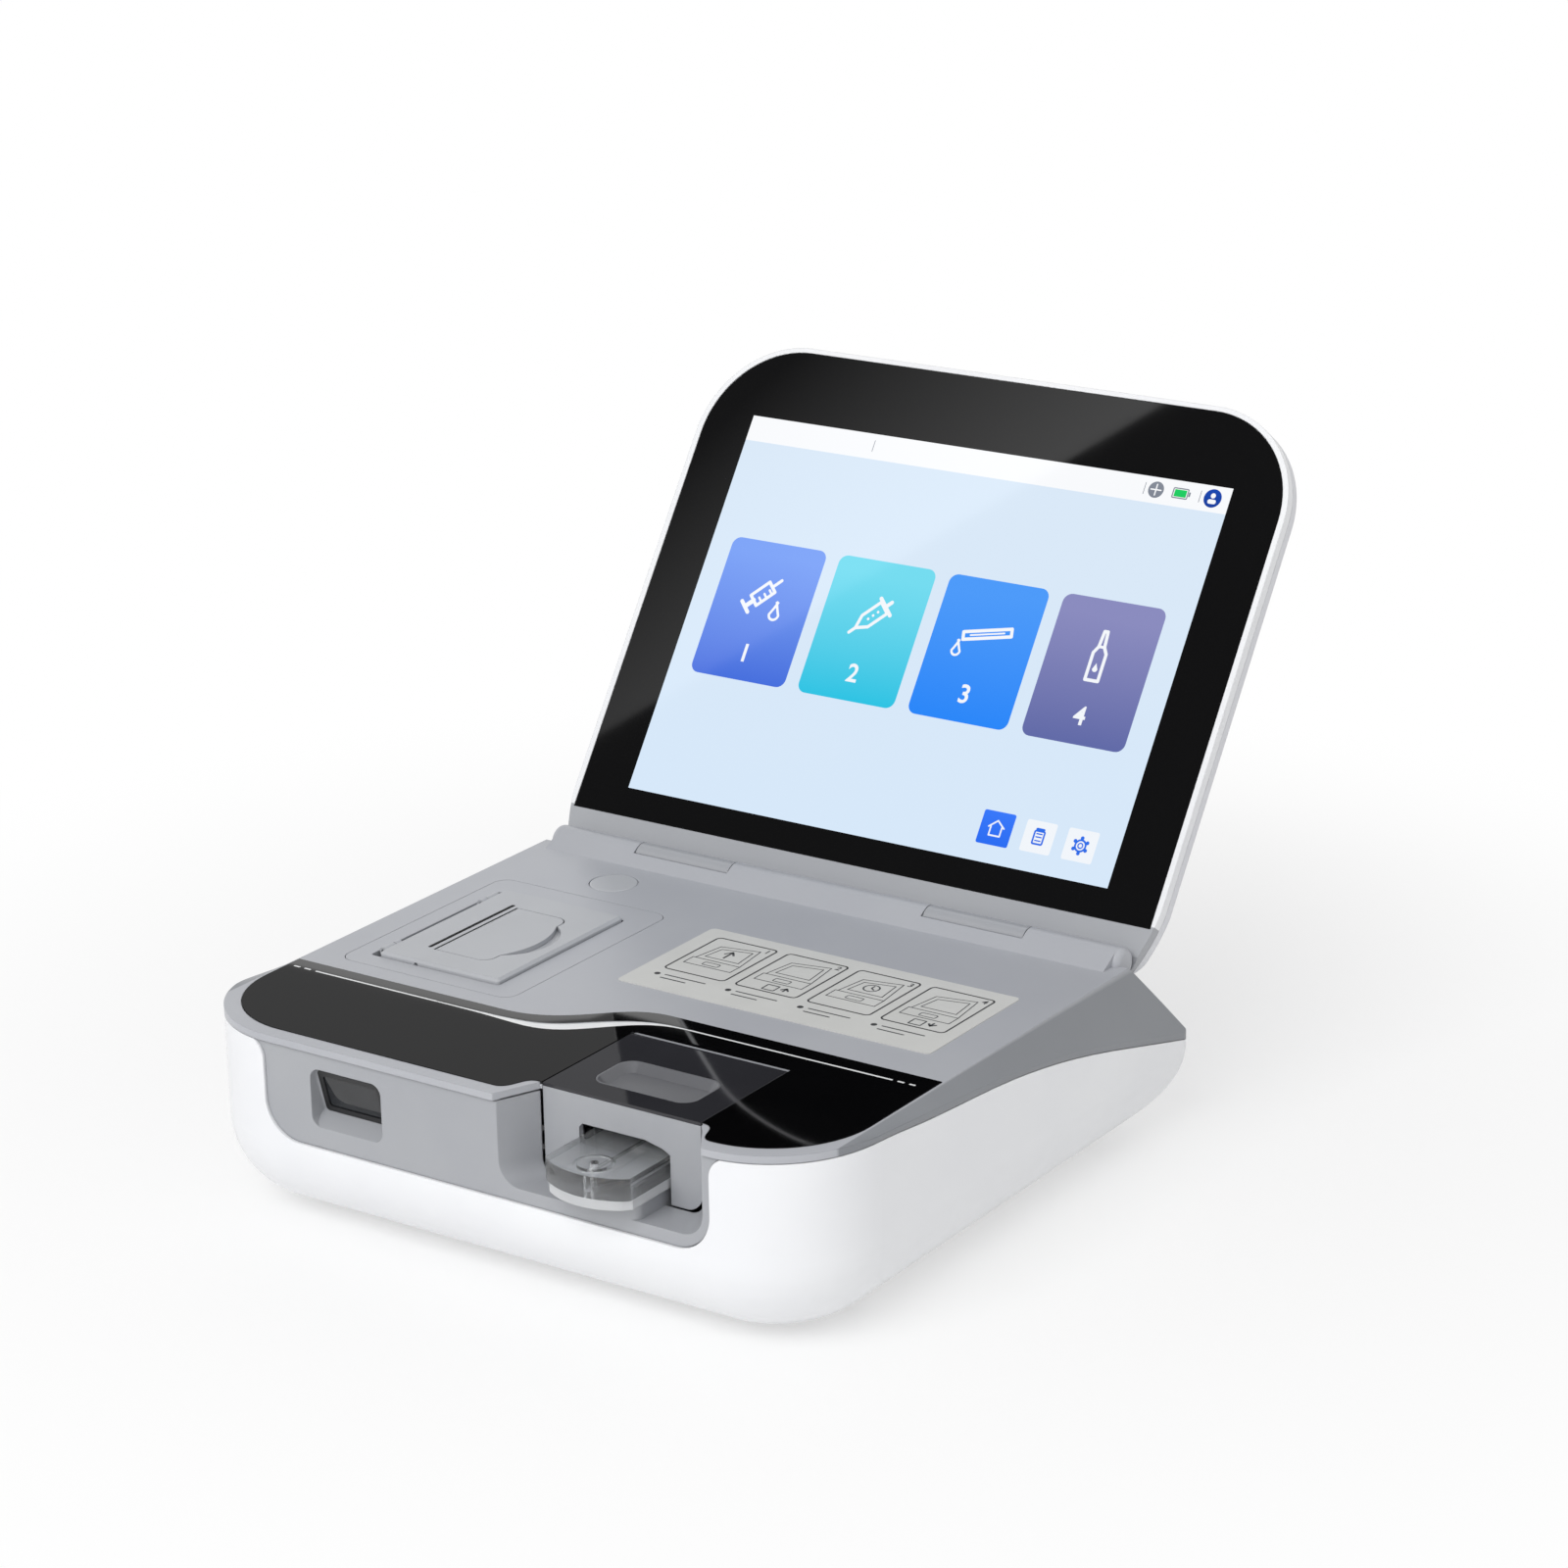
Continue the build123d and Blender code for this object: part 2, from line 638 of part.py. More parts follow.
def door_shell():
    plate = door_plan(-door_skin - door_plate, -door_skin, 0)
    front = door_plan(door_bottom, -door_skin, 0) & box(0, 100, 0, door_front + door_wall, -60, 5)
    cheeks = box(door_left + 1.5, door_left + 3.5, door_front, door_axis_y, -14, -2)
    cheeks += box(door_right - 3.5, door_right - 1.5, door_front, door_axis_y, -14, -2)
    side = along_x([(door_front, 0), (door_axis_y, 0), (door_axis_y + 3, -3), (door_axis_y, -5.9),
                    (door_front + 6, -24), (door_front, -24)], 0, 100)
    cheeks = (cheeks + box(door_left + 1.5, door_left + 3.5, door_front, 40, -24, -3)
              + box(door_right - 3.5, door_right - 1.5, door_front, 40, -24, -3)) & side
    body = plate + front + cheeks
    body += rod_x(door_barrel, door_left + 1.5, door_right - 1.5, door_axis_y, door_axis_z)
    body = body & roll_limit() & door_plan(-60, 5, 0)
    body &= box(0, 100, 0, 100, -60, -door_skin)
    body += scoop(door_skin + 0.1, -door_skin - 0.1, 0.05)
    foot = bay_section(door_left, door_right, 0, door_bottom, 5, bay_corner * 0.6 + 1.2)
    body &= Solid.extrude(Face(foot), (0, 100, 0))
    # finger scoop with sloping sides
    top = scoop(0.1, 0, 0.6)
    low = scoop(0.1, -scoop_depth, scoop_rim)
    dish = loft([top.faces().sort_by(Axis.Z)[-1], low.faces().sort_by(Axis.Z)[0]])
    under = loft([scoop(0.1, -door_skin - 0.9, -0.8).faces().sort_by(Axis.Z)[0],
                  scoop(0.1, -scoop_depth - 1.5, scoop_rim - 1.4).faces().sort_by(Axis.Z)[0]])
    body += under
    body -= dish
    notch = along_y([(notch_left, -60), (notch_right, -60), (notch_right, notch_top - 3.2),
                     (notch_right - 3, notch_top - 1.6), (notch_right - 10, notch_top),
                     (notch_left + 1.5, notch_top), (notch_left, notch_top - 1.5)], 0, door_front + 5)
    body -= notch
    return body - rod_x(door_pin_radius + pin_fit, 0, 100, door_axis_y, door_axis_z)


def door_top_plate():
    plate = door_plan(-door_skin + 0.02, 0, 0) & roll_limit()
    rim = scoop(5, -3, 0.0)
    return plate - rim


def door_pin():
    return rod_x(door_pin_radius, door_left - 4, door_right + 4, door_axis_y, door_axis_z)


# Measuring bay

def card_outline(front_chamfer):
    """Cartridge in plan with its bowed front edge."""
    chamfer = front_chamfer
    edges = [
        Line((card_left, card_back_y), (card_left, card_side_y + chamfer)),
        Line((card_left, card_side_y + chamfer), (card_left + chamfer, card_side_y)),
        ThreePointArc((card_left + chamfer, card_side_y), (card_middle, card_tip_y),
                      (card_right - chamfer, card_side_y)),
        Line((card_right - chamfer, card_side_y), (card_right, card_side_y + chamfer)),
        Line((card_right, card_side_y + chamfer), (card_right, card_back_y)),
        Line((card_right, card_back_y), (card_left, card_back_y)),
    ]
    return edges


def cartridge_top():
    body = along_z(card_outline(1.5), card_split + 0.05, card_top)
    body -= rod_z(well_radius, card_top - 0.6, 0, card_middle, well_y)
    body += rod_z(well_radius - 1.2, card_top - 1, card_top + 0.4, card_middle, well_y)
    body -= rod_z(1.5, -30, 0, card_middle, well_y)
    # sample channel and sensor chamber on the underside
    body -= box(card_middle - 0.75, card_middle + 0.75, well_y, 24, card_split - 1, card_split + 1.2)
    body -= box(card_middle - 8, card_middle + 8, 24, 36, card_split - 1, card_split + 1.6)
    return body - box(card_left + 4, card_right - 4, 40, card_back_y + 1, card_split - 1, 0)


def cartridge_base():
    body = along_z(card_outline(2.5), card_bottom, card_split)
    body = body - box(card_left - 1, card_left + 0.6, -40, 60, card_bottom - 1, card_bottom + 1)
    body -= rod_z(plunger_radius + 1, card_bottom - 1, plunger_top + plunger_travel + 1, card_middle, plunger_y)
    return body - box(card_middle - 12, card_middle + 12, 24.5, card_back_y - 0.6, card_split - 0.6, 0)


def electrode_strip():
    return box(card_middle - 11.8, card_middle + 11.8, 24.7, card_back_y - 0.8, card_split - 0.58, card_split)


def cartridge_tray():
    floor_top = card_bottom - 0.4
    body = box(card_left - 4.3, card_right + 4.3, 17, 64, floor_top - 3, floor_top)
    for x0, x1 in ((card_left - 4.3, card_left - tray_gap), (card_right + tray_gap, card_right + 4.3)):
        body += box(x0, x1, 17, 64, floor_top - 1, card_top - 1)
    body += box(card_left - 4.3, card_right + 4.3, card_back_y + 0.5, 64, floor_top - 1, card_top - 6)
    body -= box(card_middle - 12, card_middle + 12, 22, 40, floor_top - 1.4, 0)
    # legs down to the floor and side arms for the door pin
    for x0, x1 in ((card_left - 4.3, card_left - 1.3), (card_right + 1.3, card_right + 4.3)):
        body += box(x0, x1, 30, 64, body_bottom + wall, floor_top - 2)
    body -= box(card_left, card_right, 0, 100, -60, floor_top - 3)
    for x0, x1 in ((door_left - 4, door_left - 0.6), (door_right + 0.6, door_right + 4)):
        body += box(x0, x1, door_axis_y - 4, door_axis_y + 3, -26, -2.6)
        body += box(min(x0, card_left - 4), max(x1, card_right + 4), door_axis_y - 4, door_axis_y + 3, -26, -21) \
            - box(card_left - 2, card_right + 2, 0, 100, -60, 0)
    body -= rod_x(door_pin_radius, 0, 100, door_axis_y, door_axis_z)
    return body - rod_z(plunger_radius + 0.6, -40, 0, card_middle, plunger_y)


def heater_plate():
    floor_top = card_bottom - 0.4
    plate = box(card_middle - 11.9, card_middle + 11.9, 22.1, 39.9, floor_top - 1.4, floor_top - 0.1)
    return plate


def contact_block():
    body = box(card_left + 5, card_right - 5, card_back_y + 1.0, card_back_y + 9, card_top - 6, card_top + 1)
    body += box(card_left + 5, card_right - 5, 41, card_back_y + 9, card_top + 0.6, card_top + 3.6)
    for index in range(8):
        body -= rod_z(0.5, -40, 0, card_middle - 10.5 + 3 * index, 44)
    return body


def contact_pins():
    pins = [rod_z(0.5, card_split + 0.3, card_top + 4.5, card_middle - 10.5 + 3 * n, 44) for n in range(8)]
    return Compound(children=pins)


def valve_solenoid():
    floor = body_bottom + wall
    body = box(card_middle - 10, card_middle + 10, plunger_y - 10, plunger_y + 10, floor, solenoid_top)
    body = chamfer(body.edges().filter_by(Axis.Z), 3)
    return body - rod_z(plunger_radius + pin_fit, -56, 0, card_middle, plunger_y)


def valve_plunger():
    body = rod_z(plunger_radius, -53, plunger_top, card_middle, plunger_y)
    return body + rod_z(plunger_radius + 1.6, solenoid_top + 0.5, solenoid_top + 2, card_middle, plunger_y)


# Printer

def lever_outline(grow, bulge):
    """Lever in plan, with a finger tab bowed out of its right-hand edge."""
    plate = slab(lever_left - 15, lever_right + grow, lever_front - grow, lever_back + grow, -1, 20, lever_corner)
    plate &= box(lever_left - grow, 0, 0, 200, -1, 20)
    middle = (lever_front + lever_back) / 2
    half = 16.5
    radius = (half ** 2 + bulge ** 2) / (2 * bulge)
    return plate + rod_z(radius + grow, -1, 20, lever_right + bulge - radius, middle) & box(
        lever_left - grow, 0, lever_front - grow, lever_back + grow, -1, 20)


def hinge_spans():
    """Front and back of each short hinge pin of the printer door."""
    return [(min(k[0], e[0]), max(k[1], e[1])) for k, e in zip(pdoor_knuckles, pdoor_ears)]


def printer_frame():
    frame = slab(frame_left, frame_right, frame_front, frame_back, -wall, 0, frame_corner)
    frame += slab(pdoor_left - 6.5, pdoor_right + 2.5, pdoor_front - 2.5, pdoor_back + 2.5, -6, -wall + 0.5, 3)
    frame -= printer_opening()
    for y0, y1 in pdoor_ears:
        frame += rod_y(pdoor_barrel, y0, y1, pdoor_axis_x, pdoor_axis_z)
        frame += box(pdoor_left - pdoor_groove - 1, pdoor_axis_x + 1.2, y0, y1, -5, -0.2)
    for y0, y1 in hinge_spans():
        frame -= rod_y(pdoor_pin_radius, y0, y1, pdoor_axis_x, pdoor_axis_z)
    return frame


def printer_door():
    body = slab(pdoor_left, pdoor_right, pdoor_front, pdoor_back, -1.2, pdoor_top, 1.5)
    body = chamfer(body.edges().group_by(Axis.Z)[-1], 1.0)
    body -= Pos(0, 0, pdoor_top - lever_sink + 1) * lever_outline(lever_gap, 9.0) & box(
        lever_left - 1, 0, 0, 200, -9, 9)
    body -= slab(slit_x - slit_width / 2, slit_x + slit_width / 2, slit_front, slit_back, -9, 9, 0.7)
    for y0, y1 in pdoor_knuckles:
        body += rod_y(pdoor_barrel, y0, y1, pdoor_axis_x, pdoor_axis_z)
        body += box(pdoor_axis_x, pdoor_left + 1, y0, y1, -1.2, 0.9)
    for y0, y1 in pdoor_ears:
        body -= rod_y(pdoor_barrel + 0.4, y0 - 0.4, y1 + 0.4, pdoor_axis_x, pdoor_axis_z)
    # well for the lever hinge
    body -= rod_y(lever_barrel + 0.35, lever_front - lever_gap, lever_back + lever_gap, lever_left, lever_axis_z)
    floor = box(lever_left - 2.5, lever_left + 3, lever_front - 3, lever_back + 3, -3.0, -0.9)
    floor -= rod_y(lever_barrel + 0.35, 0, 200, lever_left, lever_axis_z)
    for y0, y1 in ((lever_front - 3, lever_front - 0.4), (lever_back + 0.4, lever_back + 3)):
        floor += box(lever_left - 2.5, lever_left + 3, y0, y1, -3.0, pdoor_top - 1.4)
    body += floor
    # arms for the platen
    for y0, y1 in ((slit_front - 4.2, slit_front - 1.4), (slit_back + 1.4, slit_back + 4.2)):
        body += box(platen_x - 2.8, platen_x + 2.8, y0, y1, platen_z - 2.8, 0)
        body -= rod_y(platen_shaft + pin_fit, y0 - 1, y1 + 1, platen_x, platen_z)
    body -= rod_y(lever_pin_radius, 0, 200, lever_left, lever_axis_z)
    for y0, y1 in hinge_spans():
        body -= rod_y(pdoor_pin_radius + pin_fit, y0 - 2, y1 + 2, pdoor_axis_x, pdoor_axis_z)
    return body


def printer_door_pins():
    return Compound(children=[rod_y(pdoor_pin_radius, y0, y1, pdoor_axis_x, pdoor_axis_z)
                              for y0, y1 in hinge_spans()])


def printer_lever():
    body = Pos(0, 0, pdoor_top - lever_sink + 1.05) * lever_outline(0, 4.5)
    body &= box(-200, 0, 0, 200, -9, pdoor_top)
    body &= box(lever_left, 0, 0, 200, -9, 9)
    body += rod_y(lever_barrel, lever_front, lever_back, lever_left, lever_axis_z)
    return body - rod_y(lever_pin_radius + pin_fit, 0, 200, lever_left, lever_axis_z)


def lever_pin():
    return rod_y(lever_pin_radius, lever_front - 2.5, lever_back + 2.5, lever_left, lever_axis_z)


def gear(teeth, phase):
    """Plain spur gear about the origin, drawn in plan, one tooth centred on the phase angle."""
    pitch = gear_module * teeth / 2
    tip = pitch + gear_module * 0.8
    root = pitch - gear_module * 1.1
    points = []
    for tooth in range(teeth):
        for share, radius in ((-0.32, root), (-0.12, tip), (0.12, tip), (0.32, root)):
            angle = math.radians(phase) + 2 * math.pi * (tooth + share) / teeth
            points.append((radius * math.cos(angle), radius * math.sin(angle)))
    return extrude(make_face(Polyline(*points, close=True)), gear_width, dir=(0, 0, 1))


def stand_gear(shape, x, y, z):
    """Turn a gear drawn in plan to face along Y."""
    return Pos(x, y, z) * Rot(-90, 0, 0) * shape


gear_y = slit_back + 5.0
gear_distance = gear_module * (platen_teeth + pinion_teeth) / 2
feed_x = platen_x - 3.0
feed_z = platen_z - math.sqrt((gear_distance + 0.25) ** 2 - 3.0 ** 2)
mesh_angle = math.degrees(math.atan2(-(feed_z - platen_z), feed_x - platen_x))


def platen_roller():
    body = rod_y(platen_radius, slit_front, slit_back, platen_x, platen_z)
    body += rod_y(platen_shaft, slit_front - 4.6, gear_y + gear_width, platen_x, platen_z)
    return body + stand_gear(gear(platen_teeth, mesh_angle), platen_x, gear_y, platen_z)


def feed_pinion():
    wheel = gear(pinion_teeth, mesh_angle + 180 + 180 / pinion_teeth)
    return stand_gear(wheel, feed_x, gear_y, feed_z) + rod_y(0.9, gear_y, gear_y + 11, feed_x, feed_z)


def feed_motor():
    body = rod_y(6.5, bucket_back + 0.1, bucket_back + 14, feed_x, feed_z)
    body += box(feed_x - 10, feed_x + 10, bucket_back + 0.1, bucket_back + 1.3, feed_z - 4, feed_z + 4)
    return body - rod_y(0.9 + pin_fit, 100, gear_y + 12, feed_x, feed_z)


def print_head():
    head = box(bucket_left + 3.2, platen_x - platen_radius - 0.3, slit_front, slit_back, -12.5, -5.5)
    plate = box(bucket_left + 0.2, bucket_left + 3.7, slit_front + 2, slit_back - 2, -16, -5.5)
    return head + plate


def paper_bucket():
    x0, x1 = bucket_left, pdoor_right + 1.7
    y0, y1 = slit_front - 6.5, bucket_back
    body = box(x0, x1, y0, y1, -40, -6.05) - box(x0 + bucket_wall, x1 - bucket_wall, y0 + bucket_wall,
                                                 y1 - bucket_wall, -40 + bucket_wall, 0)
    body += box(x0, x1, slit_back + 1.6, slit_back + 3.0, -40, -24)
    body -= box(x0 - 1, x0 + 3, slit_front, slit_back + 0.6, -18, 0)
    body += rod_y(spindle_radius + 3, y0, roll_front - 0.4, roll_x, roll_z)
    body += rod_y(spindle_radius, y0, roll_front + 2.2, roll_x, roll_z)
    return body - rod_y(2.2, gear_y, 200, feed_x, feed_z)


def paper_roll():
    y0, y1 = roll_front, roll_front + roll_width
    return rod_y(roll_radius, y0, y1, roll_x, roll_z) - rod_y(core_radius, 0, 200, roll_x, roll_z)


def paper_core():
    y0, y1 = roll_front, roll_front + roll_width
    return rod_y(core_radius - 0.02, y0, y1, roll_x, roll_z) - rod_y(core_bore, 0, 200, roll_x, roll_z)


# Power button

def power_button():
    cap = rod_z(button_radius, -3.2, 0.1, button_x, button_y)
    cap = fillet(cap.edges().group_by(Axis.Z)[-1], 0.5)
    cap += rod_z(button_radius + 1.2, -4.2, -3.2, button_x, button_y)
    return cap + rod_z(1.5, -7.0, -4.0, button_x, button_y)


def button_board():
    board = box(button_x - 14, button_x + 14, button_y - 8, button_y + 8, -11.6, -10)
    board += rod_z(2.2, -10.2, -7.1 - button_travel, button_x, button_y)
    for x in (button_x - 12.3, button_x + 12.3):
        board += box(x - 1.5, x + 1.5, button_y - 2, button_y + 2, -10.5, -wall)
    return board


# Lid

def lid_outline(inset, y0, y1):
    """Lid outline drawn upright, from the front plane to the back plane."""
    half = lid_half_width - inset
    top = lid_top - inset
    low = lid_bottom + inset
    corner = max(glass_corner + 2 - inset, 3)
    bend = corner * (1 - math.sqrt(0.5))
    right = [
        Line((0, 0, low), (half - 6.5, 0, low)),
        ThreePointArc((half - 6.5, 0, low), (half - 2.9, 0, low + 9.5), (half, 0, low + 24)),
        Line((half, 0, low + 24), (half, 0, top - corner)),
        ThreePointArc((half, 0, top - corner), (half - bend, 0, top - bend), (half - corner, 0, top)),
        Line((half - corner, 0, top), (0, 0, top)),
    ]
    left = [Edge(edge.wrapped).mirror(Plane.YZ) for edge in right]
    return Pos(0, y0, 0) * Solid.extrude(Face(Wire([*right, *left])), (0, y1 - y0, 0))


def lid_loft(inset0, y0, inset1, y1):
    low = lid_outline(inset0, y0, y0 + 1).faces().sort_by(Axis.Y)[0]
    high = lid_outline(inset1, y1 - 1, y1).faces().sort_by(Axis.Y)[-1]
    return Solid.make_loft([low.outer_wire(), high.outer_wire()], ruled=True)


def lid_side_profile():
    """Side view of the lid: round lower back edge."""
    back = glass_depth + lid_edge
    r = 8.0
    edges = [
        Line((0, 0, lid_bottom), (0, back - r, lid_bottom)),
        ThreePointArc((0, back - r, lid_bottom), (0, back - r * 0.293, lid_bottom + r * 0.293),
                      (0, back, lid_bottom + r)),
        Line((0, back, lid_bottom + r), (0, 40, lid_bottom + r + 40)),
        Line((0, 40, lid_bottom + r + 40), (0, 40, lid_top + 5)),
        Line((0, 40, lid_top + 5), (0, 0, lid_top + 5)),
        Line((0, 0, lid_top + 5), (0, 0, lid_bottom)),
    ]
    return Pos(-150, 0, 0) * Solid.extrude(Face(Wire(edges)), (300, 0, 0))


def glass_outline(grow, y0, y1):
    half = glass_half_width + grow
    top = glass_top + grow
    low = glass_bottom - grow
    corner = glass_corner
    bend = corner * (1 - math.sqrt(0.5))
    right = [
        Line((0, 0, low), (half, 0, low)),
        Line((half, 0, low), (half, 0, top - corner)),
        ThreePointArc((half, 0, top - corner), (half - bend, 0, top - bend), (half - corner, 0, top)),
        Line((half - corner, 0, top), (0, 0, top)),
    ]
    left = [Edge(edge.wrapped).mirror(Plane.YZ) for edge in right]
    return Pos(0, y0, 0) * Solid.extrude(Face(Wire([*right, *left])), (0, y1 - y0, 0))


def front_face_plane():
    return glass_depth - 0.2


def lid_front_frame():
    front = front_face_plane()
    back = front + rim_depth
    body = lid_outline(0, front, back) & lid_side_profile()
    body -= glass_outline(0.15, 0, glass_depth + glass_thickness + 0.1)
    body -= glass_outline(-3.0, 0, 30)
    middle = (knuckle_inner + knuckle_outer) / 2
    half = (knuckle_outer - knuckle_inner) / 2
    body -= rod_x(lid_clearance, -200, 200, 0, 0)
    arm = rod_x(barrel_radius, middle - half, middle + half, 0, 0)
    # web from the knuckle to the frame, clear of the ramp when the lid is folded down
    web = box(middle - half, middle + half, 0, front + rim_depth - 0.2, -2.2, 6.0)
    arm += web & (rod_x(barrel_radius + 0.3, -200, 200, 0, 0) + box(-200, 200, front, 40, -10, 10))
    body += mirrored(arm)
    # hollow behind the lower strip
    body -= box(-116, 116, front + 2.2, 40, 3, glass_bottom + 3.2)
    # room for the display, kept inside the rim at the round corners
    room = box(-display_width / 2 - 0.4, display_width / 2 + 0.4, glass_depth + glass_thickness + 0.12, 40,
               display_middle - display_height / 2 - 0.3, glass_top)
    body -= room & glass_outline(-1.2, 0, 50)
    for x in lid_screw_places:
        body += rod_y(3.5, front + 2, back, x, lid_screw_height)
        body -= rod_y(0.95 - screw_fit, front + 1.5, back + 1, x, lid_screw_height)
    return body - mirrored(rod_x(shaft_radius + shaft_fit, 20, 110, 0, 0))


def lid_rear_shell():
    front = front_face_plane() + rim_depth + 0.1
    edge = glass_depth + lid_edge
    back = glass_depth + lid_middle
    outer = lid_outline(0.0, front, edge) + lid_loft(3, edge - 0.01, 16, back)
    inner = lid_outline(lid_wall, front - 5, edge - lid_wall)
    inner += lid_loft(3 + lid_wall * 0.8, edge - lid_wall - 0.01, 16 + lid_wall * 0.8, back - lid_wall)
    outer &= lid_side_profile()
    inner &= Pos(0, -lid_wall, lid_wall) * lid_side_profile()
    body = outer - inner
    for x in lid_screw_places:
        body += rod_y(3.5, front, back - 2.2, x, lid_screw_height)
        body -= rod_y(1.1, 0, back + 1, x, lid_screw_height)
        body -= rod_y(2.8, back - 4.6, back + 1, x, lid_screw_height)
    return body


def cover_glass():
    return glass_outline(0, glass_depth, glass_depth + glass_thickness)


def display_panel():
    y0 = glass_depth + glass_thickness + 0.15
    z0 = display_middle - display_height / 2
    body = box(-display_width / 2, display_width / 2, y0, y0 + display_depth, z0, z0 + display_height)
    return body


def touch_board():
    y0 = glass_depth + glass_thickness + 0.15 + display_depth + 0.3
    board = box(-45, 45, y0, y0 + 1.2, 80, 130)
    for x, z, w, h in ((-20, 105, 14, 14), (12, 112, 9, 9), (14, 92, 20, 5), (-30, 88, 12, 4)):
        board += box(x - w / 2, x + w / 2, y0 + 1.1, y0 + 2.6, z - h / 2, z + h / 2)
    return board


def lid_screws():
    screws = []
    seat = glass_depth + lid_middle - 4.6
    for x in lid_screw_places:
        head = rod_y(2.5, seat, seat + 1.5, x, lid_screw_height)
        screws.append(head + rod_y(0.95 - screw_fit, front_face_plane() + 1.6, seat + 0.5, x, lid_screw_height))
    return Compound(children=screws)


def hinge_shafts():
    middle = (knuckle_inner + knuckle_outer) / 2
    half = (knuckle_outer - knuckle_inner) / 2 + 18
    shafts = []
    for sign in (-1, 1):
        shafts.append(rod_x(shaft_radius, sign * middle - half, sign * middle + half, hinge_y, hinge_z))
    return Compound(children=shafts)


# Board, battery, sockets, feet

def socket_places():
    """Left edge, right edge and height of each socket standing on the board."""
    return [(-44, -35, 11.0), (-22, -8.5, 7.0), (-4, 9.5, 7.0), (22, 38, 13.0)]


def socket_body(x0, x1, height, hollow):
    base = board_z + board_thickness
    depth = 18.0
    body = box(x0, x1, socket_plane - depth, socket_plane + 0.2, base, base + height)
    return body - box(x0 + hollow, x1 - hollow, socket_plane - depth + 4, socket_plane + 5, base + hollow,
                      base + height - hollow)


def power_socket():
    x0, x1, height = socket_places()[0]
    base = board_z + board_thickness
    body = box(x0, x1, socket_plane - 14, socket_plane + 0.2, base, base + height)
    middle = (x0 + x1) / 2
    body -= rod_y(3.0, socket_plane - 9, socket_plane + 5, middle, base + height / 2)
    return body + rod_y(1.0, socket_plane - 10, socket_plane - 1, middle, base + height / 2)


def data_sockets():
    parts = []
    for x0, x1, height in socket_places()[1:3]:
        body = socket_body(x0, x1, height, 0.6)
        base = board_z + board_thickness
        parts.append(body + box(x0 + 1.5, x1 - 1.5, socket_plane - 16, socket_plane - 1, base + 3.6, base + 5.4))
    return Compound(children=parts)


def network_socket():
    x0, x1, height = socket_places()[3]
    return socket_body(x0, x1, height, 1.4)


def main_board():
    board = box(-88, 92, 150, 212, board_z, board_z + board_thickness)
    board += box(-50, 44, 205, 226.5, board_z, board_z + board_thickness)
    for x in (-80, 60):
        for y in (154, 206):
            board -= rod_z(1.6, -70, -40, x, y)
    return board


def board_components():
    top = board_z + board_thickness
    parts = []
    for x, y, w, d, h in ((-60, 170, 22, 10, 6), (-30, 195, 12, 12, 8), (40, 190, 10, 10, 9),
                          (75, 165, 18, 8, 7), (75, 198, 8, 8, 12), (-74, 198, 10, 12, 10)):
        parts.append(box(x - w / 2, x + w / 2, y - d / 2, y + d / 2, top, top + h))
    return Compound(children=parts)


def heat_spreader():
    top = board_z + board_thickness
    body = box(-10, 24, 160, 190, top, top + 2.5)
    for fin in range(7):
        x = -9 + 5 * fin
        body += box(x, x + 1.5, 160, 190, top + 2, top + 9)
    return body


def battery_pack():
    body = slab(battery_left + 0.8, battery_right - 0.8, battery_front + 0.8, battery_back - 0.8,
                body_bottom + cover_thickness + 0.3, battery_top, 3)
    return chamfer(body.edges().group_by(Axis.Z)[-1], 1.5)


def battery_cover():
    cover = slab(battery_left - 3.8, battery_right + 3.8, battery_front - 3.8, battery_back + 3.8,
                 body_bottom, body_bottom + cover_thickness - 0.8, 4.8)
    cover += slab(battery_left + 0.3, battery_right - 0.3, battery_front + 0.3, battery_back - 0.3,
                  body_bottom + 0.5, body_bottom + cover_thickness + 0.2, 2.7)
    for step in range(4):
        x = battery_right - 30 + 5 * step
        cover -= slab(x, x + 2, battery_front + 16, battery_back - 16, body_bottom - 1, body_bottom + 0.6, 0.9)
    return cover


def speaker():
    floor = body_bottom + wall
    body = rod_z(16, floor, floor + 3, speaker_x, speaker_y)
    body += rod_z(11, floor + 2.5, floor + 9, speaker_x, speaker_y)
    return body - rod_z(14, -90, floor + 1.5, speaker_x, speaker_y)


def rubber_feet():
    feet = []
    for x in (-foot_x, foot_x):
        for y in (foot_front_y, foot_back_y):
            foot = rod_z(foot_radius, body_bottom - foot_height, body_bottom + foot_sink, x, y)
            feet.append(chamfer(foot.edges().group_by(Axis.Z)[0], 0.8))
    return Compound(children=feet)


def housing_screws():
    screws = []
    for x, y in boss_places:
        head = rod_z(2.9, body_bottom + 11.8, body_bottom + 14, x, y)
        screws.append(head + rod_z(screw_radius - screw_fit, body_bottom + 13, -28, x, y))
    return Compound(children=screws)


def lean(shape):
    """Set a lid part drawn upright onto the hinge, leaning back as it stands open."""
    return Pos(0, hinge_y, hinge_z) * Rot(-lid_lean, 0, 0) * shape


